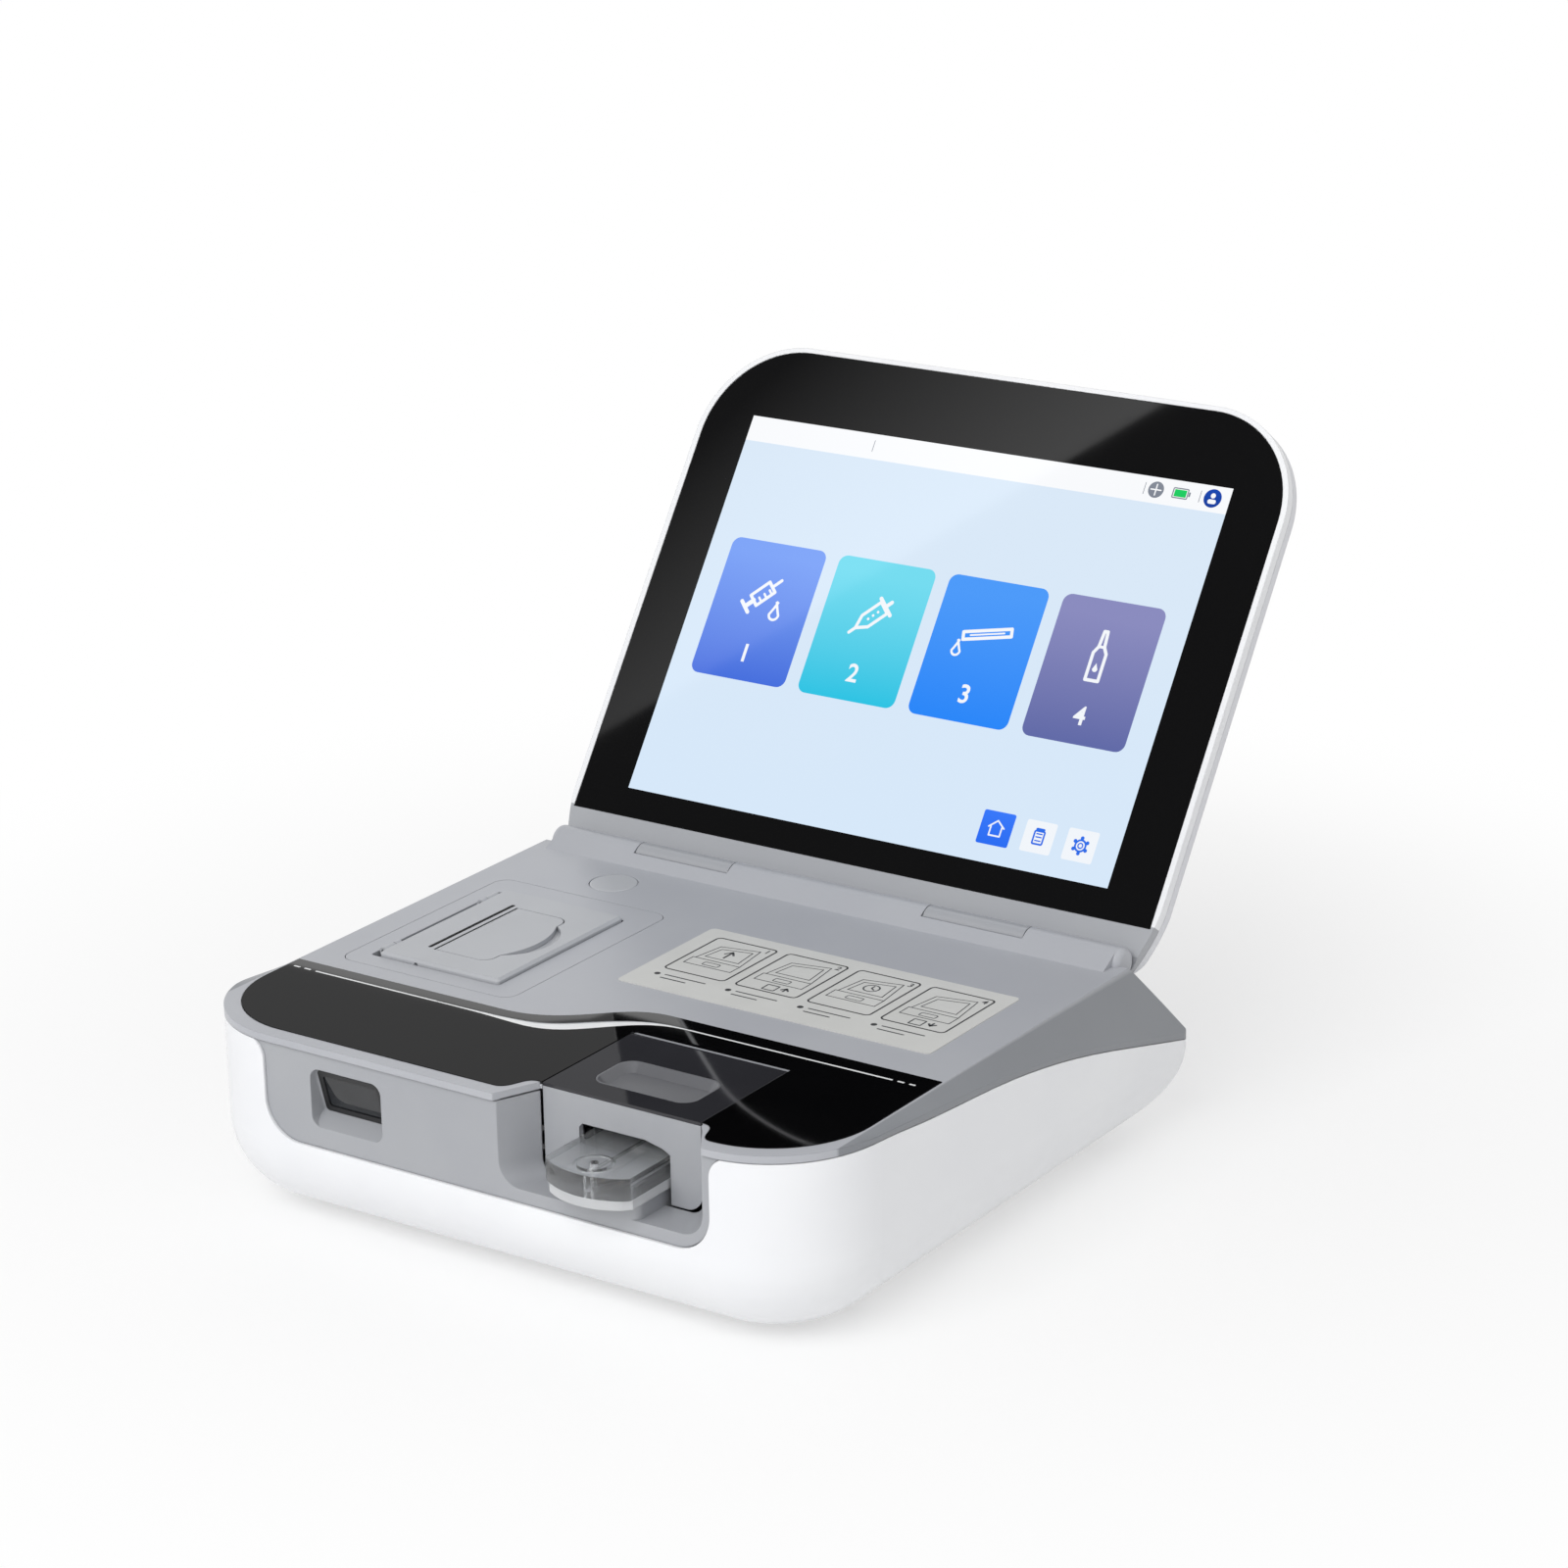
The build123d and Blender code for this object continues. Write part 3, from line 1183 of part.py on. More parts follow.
fixed_parts = {
    "lower_housing": lower_housing, "top_cover": top_cover, "front_bezel": front_bezel,
    "control_overlay": control_overlay, "instruction_label": instruction_label,
    "scanner_gasket": scanner_gasket, "scanner_window": scanner_window, "scanner_module": scanner_module,
    "sample_door_shell": door_shell, "sample_door_plate": door_top_plate, "sample_door_pin": door_pin,
    "cartridge_top": cartridge_top, "cartridge_base": cartridge_base, "electrode_strip": electrode_strip,
    "cartridge_tray": cartridge_tray, "heater_plate": heater_plate, "contact_block": contact_block,
    "contact_pins": contact_pins, "valve_solenoid": valve_solenoid, "valve_plunger": valve_plunger,
    "printer_frame": printer_frame, "printer_door": printer_door,
    "printer_door_pins": printer_door_pins, "printer_lever": printer_lever, "lever_pin": lever_pin,
    "platen_roller": platen_roller, "feed_pinion": feed_pinion, "feed_motor": feed_motor,
    "print_head": print_head, "paper_bucket": paper_bucket, "paper_roll": paper_roll,
    "paper_core": paper_core, "power_button": power_button, "button_board": button_board,
    "hinge_shafts": hinge_shafts, "main_board": main_board, "board_components": board_components,
    "heat_spreader": heat_spreader, "power_socket": power_socket, "data_sockets": data_sockets,
    "network_socket": network_socket, "battery_pack": battery_pack, "battery_cover": battery_cover,
    "speaker": speaker, "rubber_feet": rubber_feet, "housing_screws": housing_screws,
}
lid_parts = {
    "lid_front_frame": lid_front_frame, "lid_rear_shell": lid_rear_shell, "cover_glass": cover_glass,
    "display_panel": display_panel, "touch_board": touch_board, "lid_screws": lid_screws,
}

# the plan runs from the tip of the cartridge to the top back edge of the opened lid
lean_angle = math.radians(lid_lean)
plan_back = hinge_y + (glass_depth + lid_edge) * math.cos(lean_angle) + lid_top * math.sin(lean_angle)
plan_middle = (card_tip_y + plan_back) / 2
home = Pos(0, -plan_middle, foot_height - body_bottom)

if __name__ == "__main__":
    for name, make in fixed_parts.items():
        export_step(home * make(), f"parts/{name}.step")
    for name, make in lid_parts.items():
        export_step(home * lean(make()), f"parts/{name}.step")
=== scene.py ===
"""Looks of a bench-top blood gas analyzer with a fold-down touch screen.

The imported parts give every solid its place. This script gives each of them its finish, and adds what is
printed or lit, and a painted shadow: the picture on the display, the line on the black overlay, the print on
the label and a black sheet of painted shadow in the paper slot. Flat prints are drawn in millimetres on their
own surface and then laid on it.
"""

import json
import math

import bmesh
import bpy
from mathutils import Matrix, Vector


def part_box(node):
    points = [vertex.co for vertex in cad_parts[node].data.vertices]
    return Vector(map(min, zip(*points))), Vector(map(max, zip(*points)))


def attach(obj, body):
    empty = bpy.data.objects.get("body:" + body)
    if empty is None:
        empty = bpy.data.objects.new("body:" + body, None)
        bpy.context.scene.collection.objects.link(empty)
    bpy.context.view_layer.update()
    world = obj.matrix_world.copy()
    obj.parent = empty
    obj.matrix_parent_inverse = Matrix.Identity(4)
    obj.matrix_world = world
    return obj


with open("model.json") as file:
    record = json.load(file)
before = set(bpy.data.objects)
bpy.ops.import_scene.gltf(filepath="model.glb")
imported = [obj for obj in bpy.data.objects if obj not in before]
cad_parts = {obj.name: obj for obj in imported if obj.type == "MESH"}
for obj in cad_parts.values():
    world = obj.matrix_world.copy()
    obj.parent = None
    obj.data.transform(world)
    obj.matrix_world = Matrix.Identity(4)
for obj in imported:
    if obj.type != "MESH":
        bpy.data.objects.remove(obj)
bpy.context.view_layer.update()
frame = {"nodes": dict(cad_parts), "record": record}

MM = 0.001
to_metres = Matrix.Scale(MM, 4)

# Places of the printed and lit surfaces, read from the parts that carry them
overlay_low, overlay_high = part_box("control_overlay")
label_low, label_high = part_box("instruction_label")
door_low, door_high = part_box("printer_door")
shaft_low, shaft_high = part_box("hinge_shafts")
hinge_centre = (shaft_low + shaft_high) / 2
body_front = Vector((0, overlay_low.y, 0))
lid_lean = math.radians(35.18)
lid_up = Vector((0, math.sin(lid_lean), math.cos(lid_lean)))
glass_depth = 5.35


def raised_to(height):
    """The place of a level surface of the body, with its origin at the body's front and its middle."""
    return Matrix.Translation(body_front + Vector((0, 0, height))) @ to_metres


on_overlay = raised_to(overlay_high.z)
on_label = raised_to(label_high.z)
on_door = raised_to(door_high.z)
upright_lid = Matrix.Translation(hinge_centre) @ Matrix.Rotation(-lid_lean, 4, "X") @ to_metres
on_glass = upright_lid @ Matrix.Translation((0, glass_depth, 0)) @ Matrix.Rotation(math.pi / 2, 4, "X")


# Materials

def linear(hex_colour, alpha=1.0):
    """An sRGB colour such as #c8cacd as linear light."""
    shares = [int(hex_colour[i:i + 2], 16) / 255 for i in (1, 3, 5)]
    light = [s / 12.92 if s <= 0.04045 else ((s + 0.055) / 1.055) ** 2.4 for s in shares]
    return (*light, alpha)


def add_node(tree, kind, sockets=None, links=None, stops=None, **settings):
    """Adds one node with its settings, socket values, ramp stops and incoming links."""
    node = tree.nodes.new(kind)
    for name, value in settings.items():
        setattr(node, name, value)
    for name, value in (sockets or {}).items():
        node.inputs[name].default_value = value
    for name, source in (links or {}).items():
        tree.links.new(source, node.inputs[name])
    for stop, (position, colour) in zip(node.color_ramp.elements if stops else (), stops or ()):
        stop.position = position
        stop.color = linear(colour)
    return node


def new_material(name):
    """A new material and its tree of nodes."""
    material = bpy.data.materials.new(name)
    material.use_nodes = True
    return material, material.node_tree


def surface(name, colour, shade, blotch_mm, roughness, drift=0.04, grain_mm=0.0, relief_mm=0.0, edge_mm=0.0,
            stretch=(1, 1, 1), shader=None):
    """A solid finish: its colour drifts towards a shade in soft blotches, its gloss varies a little,
    a fine grain stands up from it, and its edges catch the light as slightly rounded ones do."""
    material, tree = new_material(name)
    principled = tree.nodes["Principled BSDF"]
    for socket, value in (shader or {}).items():
        principled.inputs[socket].default_value = value
    place = add_node(tree, "ShaderNodeTexCoord").outputs["Object"]
    drawn = add_node(tree, "ShaderNodeMapping", {"Scale": stretch}, {"Vector": place}).outputs["Vector"]
    blotch = add_node(tree, "ShaderNodeTexNoise", {"Scale": 1 / (blotch_mm * MM), "Detail": 3.0},
                      {"Vector": drawn}).outputs["Fac"]
    tint = add_node(tree, "ShaderNodeValToRGB", None, {"Fac": blotch}, stops=[(0.3, shade), (0.7, colour)])
    tree.links.new(tint.outputs["Color"], principled.inputs["Base Color"])
    rub = add_node(tree, "ShaderNodeTexNoise", {"Scale": 1 / (blotch_mm * MM * 0.35), "Detail": 4.0},
                   {"Vector": drawn}).outputs["Fac"]
    gloss = add_node(tree, "ShaderNodeMapRange", {"To Min": roughness - drift, "To Max": roughness + drift},
                     {"Value": rub})
    tree.links.new(gloss.outputs["Result"], principled.inputs["Roughness"])
    normal = None
    if edge_mm:
        normal = add_node(tree, "ShaderNodeBevel", {"Radius": edge_mm * MM}, samples=4).outputs["Normal"]
    if relief_mm:
        grain = add_node(tree, "ShaderNodeTexNoise", {"Scale": 1 / (grain_mm * MM), "Detail": 2.0},
                         {"Vector": drawn}).outputs["Fac"]
        bump = add_node(tree, "ShaderNodeBump", {"Strength": 1.0, "Distance": relief_mm * MM},
                        {"Height": grain})
        if normal:
            tree.links.new(normal, bump.inputs["Normal"])
        normal = bump.outputs["Normal"]
    if normal:
        tree.links.new(normal, principled.inputs["Normal"])
    return material


def second_colour(material, colour, shade, direction, edge, blend, both_sides=False):
    """Gives the part of a moulding that lies beyond a plane a second colour: a real one, as on the lid's strip,
    or painted shade, as on the cover's sides and in the door's scoop.
    The two colours run into each other within the blend on either side of the plane."""
    tree = material.node_tree
    principled = tree.nodes["Principled BSDF"]
    first = principled.inputs["Base Color"].links[0].from_node
    place = add_node(tree, "ShaderNodeTexCoord").outputs["Object"]
    along = add_node(tree, "ShaderNodeVectorMath", {1: direction}, {0: place}, operation="DOT_PRODUCT")
    reach = along.outputs["Value"]
    if both_sides:
        reach = add_node(tree, "ShaderNodeMath", None, {0: reach}, operation="ABSOLUTE").outputs["Value"]
    share = add_node(tree, "ShaderNodeMapRange", {"From Min": edge - blend, "From Max": edge + blend},
                     {"Value": reach})
    tint = add_node(tree, "ShaderNodeValToRGB", None, {"Fac": first.inputs["Fac"].links[0].from_socket},
                    stops=[(0.3, shade), (0.7, colour)])
    # sockets 6 and 7 of this node take the two colours, and its output 2 gives the mixed one
    mixed = add_node(tree, "ShaderNodeMix", None, {"Factor": share.outputs["Result"]}, data_type="RGBA")
    tree.links.new(first.outputs["Color"], mixed.inputs[6])
    tree.links.new(tint.outputs["Color"], mixed.inputs[7])
    tree.links.new(mixed.outputs[2], principled.inputs["Base Color"])


def lit_picture(name, upper, lower, low_mm, high_mm, streak_mm=0.0):
    """Part of a lit display picture: its colour runs from a lower to an upper one along the lid, with a
    soft cloudy drift, and the glass in front of it gives it a sharp gloss."""
    material, tree = new_material(name)
    principled = tree.nodes["Principled BSDF"]
    principled.inputs["Roughness"].default_value = 0.04
    principled.inputs["IOR"].default_value = 1.5
    principled.inputs["Base Color"].default_value = linear("#0c0e12")
    # a little under full strength, so that its white doesn't clip where the glass adds its gloss
    principled.inputs["Emission Strength"].default_value = 0.97
    place = add_node(tree, "ShaderNodeTexCoord").outputs["Object"]
    from_hinge = add_node(tree, "ShaderNodeVectorMath", {1: hinge_centre}, {0: place}, operation="SUBTRACT")
    height = add_node(tree, "ShaderNodeVectorMath", {1: lid_up}, {0: from_hinge.outputs["Vector"]},
                      operation="DOT_PRODUCT")
    cloud_mm = 60
    cloud = add_node(tree, "ShaderNodeTexNoise",
                     {"Scale": 1 / (cloud_mm * MM), "Detail": 2.0, "Roughness": 0.4}, {"Vector": place})
    drift = add_node(tree, "ShaderNodeMath", {1: streak_mm * MM},
                     {0: cloud.outputs["Fac"], 2: height.outputs["Value"]}, operation="MULTIPLY_ADD")
    share = add_node(tree, "ShaderNodeMapRange", {"From Min": low_mm * MM, "From Max": high_mm * MM},
                     {"Value": drift.outputs["Value"]})
    ramp = add_node(tree, "ShaderNodeValToRGB", None, {"Fac": share.outputs["Result"]},
                    stops=[(0.0, lower), (1.0, upper)])
    tree.links.new(ramp.outputs["Color"], principled.inputs["Emission Color"])
    return material


# Spark-eroded grain on moulded plastic is about 0.05 mm; it is drawn at 0.3 mm so that it shows at all.
finishes = {
    # gloss white ABS from a polished mould: clean broad highlights, almost no grain
    "shell_white": surface("gloss_white_moulded_abs", "#eeeff1", "#e9eaed", 60, 0.24, 0.03,
                           grain_mm=0.5, relief_mm=0.0015, edge_mm=0.5, shader={"IOR": 1.53}),
    # the same on the lid's front frame, whose strip by the hinge gets a second colour below
    "lid_white": surface("gloss_white_moulded_lid_frame", "#eeeff1", "#e9eaed", 60, 0.24, 0.03,
                         grain_mm=0.5, relief_mm=0.0015, edge_mm=0.5, shader={"IOR": 1.53}),
    # light grey ABS from a finely textured mould: satin, with the lid faintly mirrored in it
    "cover_grey": surface("satin_light_grey_moulded_abs", "#b1b3b8", "#adafb5", 45, 0.33, 0.03,
                          grain_mm=0.3, relief_mm=0.002, edge_mm=0.5, shader={"IOR": 1.53}),
    # the lid's back shell: the white plastic with a fine texture, a shade deeper than its front frame; the
    # deeper tone is painted shade, for its side that lies in shade
    "lid_white_painted_shade": surface("satin_white_lid_shell_painted_shade", "#dcdde1", "#d7d8dd", 60, 0.34, 0.03,
                        grain_mm=0.3, relief_mm=0.002, edge_mm=0.5, shader={"IOR": 1.53}),
    # the top cover: light grey as the printer's frame, with a deeper grey on its leaning sides that is painted
    # shade, as they face away from the light
    "cover_painted_shade_sides": surface("satin_light_grey_cover_painted_shade_sides", "#b1b3b8", "#adafb5", 45, 0.33, 0.03,
                              grain_mm=0.3, relief_mm=0.002, edge_mm=0.5, shader={"IOR": 1.53}),
    # the same plastic on the front panel, a little more matt
    "bezel_grey": surface("satin_grey_moulded_front_panel", "#a5a7ab", "#a1a3a8", 30, 0.38, 0.03,
                          grain_mm=0.3, relief_mm=0.002, edge_mm=0.6, shader={"IOR": 1.53}),
    # back-printed acrylic sheet: deep black under a clear polished face
    "overlay_black": surface("back_printed_black_acrylic", "#09090a", "#070708", 50, 0.03, 0.01,
                             shader={"IOR": 1.49}),
    # smoked acrylic over the grey door: dark grey that lets some light through
    "smoke_plate": surface("smoked_acrylic_door_plate", "#303034", "#2c2c30", 40, 0.04, 0.01,
                           edge_mm=0.3, shader={"IOR": 1.49}),
    # the door under it: satin grey with a fine grain, as on the front panel
    "door_light": surface("satin_light_grey_moulded_door", "#a5a7ab", "#a1a3a8", 25, 0.36, 0.03,
                          grain_mm=0.3, relief_mm=0.002, edge_mm=0.4, shader={"IOR": 1.53}),
    # injection-moulded clear polycarbonate: polished, with bright edges, and the ledge shows through it
    "clear_plastic": surface("clear_moulded_polycarbonate", "#fafbfc", "#f2f4f6", 12, 0.03, 0.02,
                             edge_mm=0.35, shader={"IOR": 1.58, "Transmission Weight": 1.0, "Alpha": 0.7}),
    # the same plastic from a blasted mould under the channels: frosted, it glows pale
    "frosted_plastic": surface("frosted_moulded_polycarbonate", "#f1f3f5", "#e9ebee", 12, 0.12, 0.03,
                               grain_mm=0.4, relief_mm=0.003, edge_mm=0.35,
                               shader={"IOR": 1.58, "Transmission Weight": 0.45}),
    # matt printed polyester film: off-white, with no mirror in it
    "label_film": surface("matt_printed_polyester_label", "#cdcdca", "#c8c8c5", 20, 0.5, 0.05,
                          grain_mm=0.25, relief_mm=0.001, shader={"IOR": 1.57}),
    # chemically hardened float glass, printed black behind: a mirror-flat face
    "cover_glass": surface("black_backed_hardened_glass", "#0b0b0c", "#0a0a0b", 80, 0.03, 0.01,
                           edge_mm=0.2, shader={"IOR": 1.52}),
    # the display's own glass, round the lit picture: near black and a little softer than the cover glass
    "display": surface("unlit_display_glass", "#17181a", "#131416", 40, 0.12, 0.03, shader={"IOR": 1.52}),
    # tinted glass over the scanner: dark and polished, uneven from what lies behind it
    "dark_glass": surface("dark_tinted_window_glass", "#26282b", "#1b1c1f", 9, 0.05, 0.02,
                          shader={"IOR": 1.52}),
    # black ABS from an eroded mould: matt, with soft highlights
    "black_plastic": surface("matt_black_moulded_abs", "#1c1c1e", "#171719", 15, 0.45, 0.05,
                             grain_mm=0.3, relief_mm=0.003, edge_mm=0.2, shader={"IOR": 1.53}),
    # drawn and ground steel rod: fine lines along its length
    "steel": surface("ground_stainless_steel", "#b9bbbd", "#a6a8ab", 4, 0.26, 0.08,
                     grain_mm=0.2, relief_mm=0.001, edge_mm=0.1, stretch=(0.15, 1, 1),
                     shader={"Metallic": 1.0}),
    # zinc-plated screws and cans: cooler and duller, with cloudy passivation
    "zinc_steel": surface("zinc_plated_steel", "#b4b8bd", "#9499a0", 3, 0.36, 0.1,
                          grain_mm=0.3, relief_mm=0.002, edge_mm=0.15, shader={"Metallic": 1.0}),
    # milled aluminium plate: faint cutter lines
    "heater_alu": surface("milled_aluminium", "#c6c8ca", "#b2b4b7", 3, 0.32, 0.08,
                          grain_mm=0.25, relief_mm=0.003, edge_mm=0.15, stretch=(1, 0.12, 1),
                          shader={"Metallic": 1.0}),
    # gold plate on turned brass: warm, bright and smooth
    "gold_pins": surface("gold_plated_spring_pins", "#d8ad58", "#c09544", 2, 0.24, 0.06,
                         shader={"Metallic": 1.0}),
    # screen-printed carbon and silver on a polyester strip: dark and light patches under a dull gloss
    "electrode": surface("printed_carbon_electrode_strip", "#8d8f92", "#3b3d40", 3.2, 0.42, 0.1,
                         grain_mm=0.3, relief_mm=0.002, shader={"IOR": 1.57}),
    # the printer's lever: the light grey plastic, worn a little smoother by fingers
    "lever_grey": surface("satin_grey_moulded_lever", "#b4b6ba", "#b0b2b6", 25, 0.34, 0.03,
                          grain_mm=0.3, relief_mm=0.002, edge_mm=0.4, shader={"IOR": 1.53}),
    # ground silicone rubber on the platen: matt, with fine grinding marks round it
    "platen_rubber": surface("ground_silicone_rubber", "#2b2b2d", "#232325", 5, 0.72, 0.08,
                             grain_mm=0.3, relief_mm=0.01, stretch=(1, 3, 1), shader={"IOR": 1.43}),
    # coated thermal paper, wound: smooth face, layered ends
    "paper_white": surface("coated_thermal_paper", "#eeeeea", "#e6e6e1", 8, 0.55, 0.05,
                           grain_mm=0.2, relief_mm=0.004, stretch=(1, 0.2, 1), shader={"IOR": 1.5}),
    # wound kraft board: brown with fibres
    "card_brown": surface("wound_kraft_board", "#9b7a55", "#83643f", 3, 0.8, 0.06,
                          grain_mm=0.4, relief_mm=0.02, stretch=(1, 0.4, 1), shader={"IOR": 1.5}),
    # undyed acetal: a warm, waxy white
    "gear_white": surface("natural_moulded_acetal", "#e6e5df", "#dcdbd4", 6, 0.38, 0.05,
                          grain_mm=0.3, relief_mm=0.002, edge_mm=0.1, shader={"IOR": 1.48}),
    # the power button: the light grey plastic, a little glossier than the cover round it
    "button_white": surface("satin_light_grey_button", "#b6b8bc", "#b2b4b8", 15, 0.3, 0.03,
                            grain_mm=0.3, relief_mm=0.0015, edge_mm=0.3, shader={"IOR": 1.53}),
    # solder-masked glass-fibre board: green with darker copper-free lanes
    "board_green": surface("solder_masked_fibreglass_board", "#1f6a41", "#154f30", 2.5, 0.3, 0.06,
                           grain_mm=0.8, relief_mm=0.02, stretch=(1, 0.25, 1), shader={"IOR": 1.5}),
    # epoxy from a blasted mould: dull black
    "chip_black": surface("moulded_epoxy_chip_package", "#232427", "#1c1d1f", 3, 0.5, 0.06,
                          grain_mm=0.2, relief_mm=0.003, edge_mm=0.15, shader={"IOR": 1.55}),
    # moulded chloroprene feet: matt and slightly dusty
    "foot_rubber": surface("moulded_chloroprene_rubber", "#2a2a2b", "#323232", 6, 0.78, 0.08,
                           grain_mm=0.5, relief_mm=0.01, edge_mm=0.3, shader={"IOR": 1.52}),
    # heat-shrunk sleeve round the cells: satin blue, with shallow ripples
    "battery_blue": surface("heat_shrunk_vinyl_sleeve", "#2c5fa8", "#25528f", 14, 0.34, 0.05,
                            grain_mm=6.0, relief_mm=0.05, edge_mm=0.5, shader={"IOR": 1.54}),
}

# the lid's frame is light grey on the strip between the glass and the hinge, and on the knuckles
grey_strip_top = 16.0 * MM
second_colour(finishes["lid_white"], "#a8aaae", "#a4a6ab", -lid_up,
              -lid_up.dot(hinge_centre) - grey_strip_top, 0.2 * MM)
# painted shade: the top cover turns deeper grey where its sides start to lean, as they face away from the light
flat_top_half_width = 128.15 * MM
second_colour(finishes["cover_painted_shade_sides"], "#83868b", "#7f8287", (1, 0, 0), flat_top_half_width, 0.25 * MM,
              both_sides=True)
# painted shade: the door turns darker grey from 14 mm behind the body's front, so its finger scoop under the
# smoked plate looks shaded
scoop_painted_shade_front = 14.0 * MM
second_colour(finishes["door_light"], "#66676b", "#606165", (0, 1, 0), body_front.y + scoop_painted_shade_front, 0.2 * MM)

slot_of = {row["node"]: row["material_slot"] for row in frame["record"]["subparts"]}
slot_of.update(lid_front_frame="lid_white", lid_rear_shell="lid_white_painted_shade", cartridge_base="frosted_plastic",
               top_cover="cover_painted_shade_sides")
for node_name, solid in frame["nodes"].items():
    solid.data.materials.clear()
    solid.data.materials.append(finishes[slot_of[node_name]])


# Flat shapes, drawn about the origin in millimetres

def rounded_rectangle(width, height, corner, segments=6):
    """A rectangle whose corners have one radius, or are square where that is 0."""
    shape = bmesh.new()
    bmesh.ops.create_grid(shape, x_segments=1, y_segments=1, size=0.5)
    bmesh.ops.scale(shape, vec=(width, height, 1), verts=shape.verts)
    if corner:
        bmesh.ops.bevel(shape, geom=shape.verts[:], offset=corner, segments=segments, profile=0.5,
                        affect="VERTICES", material=-1)
    return shape


def disc(radius, segments=40):
    """A full circle."""
    shape = bmesh.new()
    bmesh.ops.create_circle(shape, cap_ends=True, segments=segments, radius=radius)
    return shape


def outlined(shape, line):
    """Only the outline of a flat shape, as wide as the line."""
    band = bmesh.ops.inset_region(shape, faces=shape.faces[:], thickness=line, use_even_offset=True,
                                  use_boundary=True)["faces"]
    inside = [face for face in shape.faces if face not in set(band)]
    bmesh.ops.delete(shape, geom=inside, context="FACES")
    return shape


def drop(radius):
    """A drop of liquid: a circle whose upper half narrows to a point."""
    shape = disc(radius, 32)
    for vert in shape.verts:
        if vert.co.y > 0:
            rise = min(vert.co.y / radius, 1.0)
            vert.co.x *= (1 - rise) ** 0.55
            vert.co.y += rise ** 2 * radius * 1.15
    return shape


def turned(points, angle, x, y):
    """Points turned about the origin and moved to x, y."""
    spin = Matrix.Rotation(angle, 2)
    return [spin @ Vector(p) + Vector((x, y)) for p in points]


# Print: flat shapes are laid on a surface and gathered in a sheet, which then becomes one piece

def lay(sheet, shape, surface_place, x=0.0, y=0.0, turn=0.0, low=0.0, high=0.04):
    """Gives a flat shape its thickness, lays it on a surface at x, y and adds it to the sheet."""
    raised = bmesh.ops.extrude_face_region(shape, geom=shape.faces[:])["geom"]
    top = [part for part in raised if isinstance(part, bmesh.types.BMVert)]
    bmesh.ops.translate(shape, vec=(0, 0, high - low), verts=top)
    place = surface_place @ Matrix.Translation((x, y, low)) @ Matrix.Rotation(turn, 4, "Z")
    bmesh.ops.transform(shape, matrix=place, verts=shape.verts)
    bmesh.ops.recalc_face_normals(shape, faces=shape.faces)
    held = bpy.data.meshes.new("held")
    shape.to_mesh(held)
    shape.free()
    sheet.from_mesh(held)
    bpy.data.meshes.remove(held)


def lay_curve(sheet, curve, place):
    """Turns text or a curve into a mesh, puts it in its place and adds it to the sheet."""
    carrier = bpy.data.objects.new(curve.name, curve)
    bpy.context.scene.collection.objects.link(carrier)
    made = bpy.data.meshes.new_from_object(carrier)
    made.transform(place)
    sheet.from_mesh(made)
    bpy.data.objects.remove(carrier)
    bpy.data.curves.remove(curve)
    bpy.data.meshes.remove(made)


def path(sheet, surface_place, points, line, low=0.0, high=0.04):
    """Straight lines of print from point to point, each with round ends."""
    round_end = line * 0.49
    for start, end in zip(points, points[1:]):
        start, end = Vector(start), Vector(end)
        run = end - start
        middle = (start + end) / 2
        lay(sheet, rounded_rectangle(run.length + line, line, round_end, 4), surface_place, middle.x, middle.y,
            math.atan2(run.y, run.x), low, high)


def numeral(sheet, surface_place, text, x, y, height, low=0.0, high=0.04):
    """A plain number, centred on x, y. Its figures are 0.7 of the type size, and slightly bold."""
    letters = bpy.data.curves.new("numeral", "FONT")
    letters.body = text
    letters.align_x = "CENTER"
    letters.align_y = "CENTER"
    letters.size = height / 0.7
    letters.extrude = (high - low) / 2
    letters.offset = height * 0.025
    letters.resolution_u = 4
    lay_curve(sheet, letters, surface_place @ Matrix.Translation((x, y, (low + high) / 2)))


def ribbon(sheet, surface_place, points, widths, height):
    """A flat line whose width changes along a smooth curve."""
    curve = bpy.data.curves.new("ribbon", "CURVE")
    curve.dimensions = "3D"
    curve.bevel_depth = 1.0
    curve.bevel_resolution = 1
    curve.resolution_u = 10
    curve.use_fill_caps = True
    spline = curve.splines.new("NURBS")
    spline.points.add(len(points) - 1)
    for point, (x, y), width in zip(spline.points, points, widths):
        point.co = (x, y, 0, 1)
        point.radius = width / 2
    spline.order_u = 4
    spline.use_endpoint_u = True
    widest = max(widths) / 2
    flattened = Matrix.Diagonal((1, 1, height / 2 / widest, 1))
    lay_curve(sheet, curve, surface_place @ Matrix.Translation((0, 0, height / 2)) @ flattened)


def piece(name, sheet, material, body):
    """Makes the sheet a piece of the object that moves with a body."""
    bmesh.ops.remove_doubles(sheet, verts=sheet.verts, dist=1e-7)
    mesh = bpy.data.meshes.new(name)
    sheet.to_mesh(mesh)
    sheet.free()
    mesh.materials.append(material)
    made = bpy.data.objects.new(name, mesh)
    bpy.context.scene.collection.objects.link(made)
    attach(made, body)
    return made


# Picture on the display: background, bar along the top, four tiles, three buttons and small marks.
# Its places are in millimetres from the lid's middle and up from the hinge.

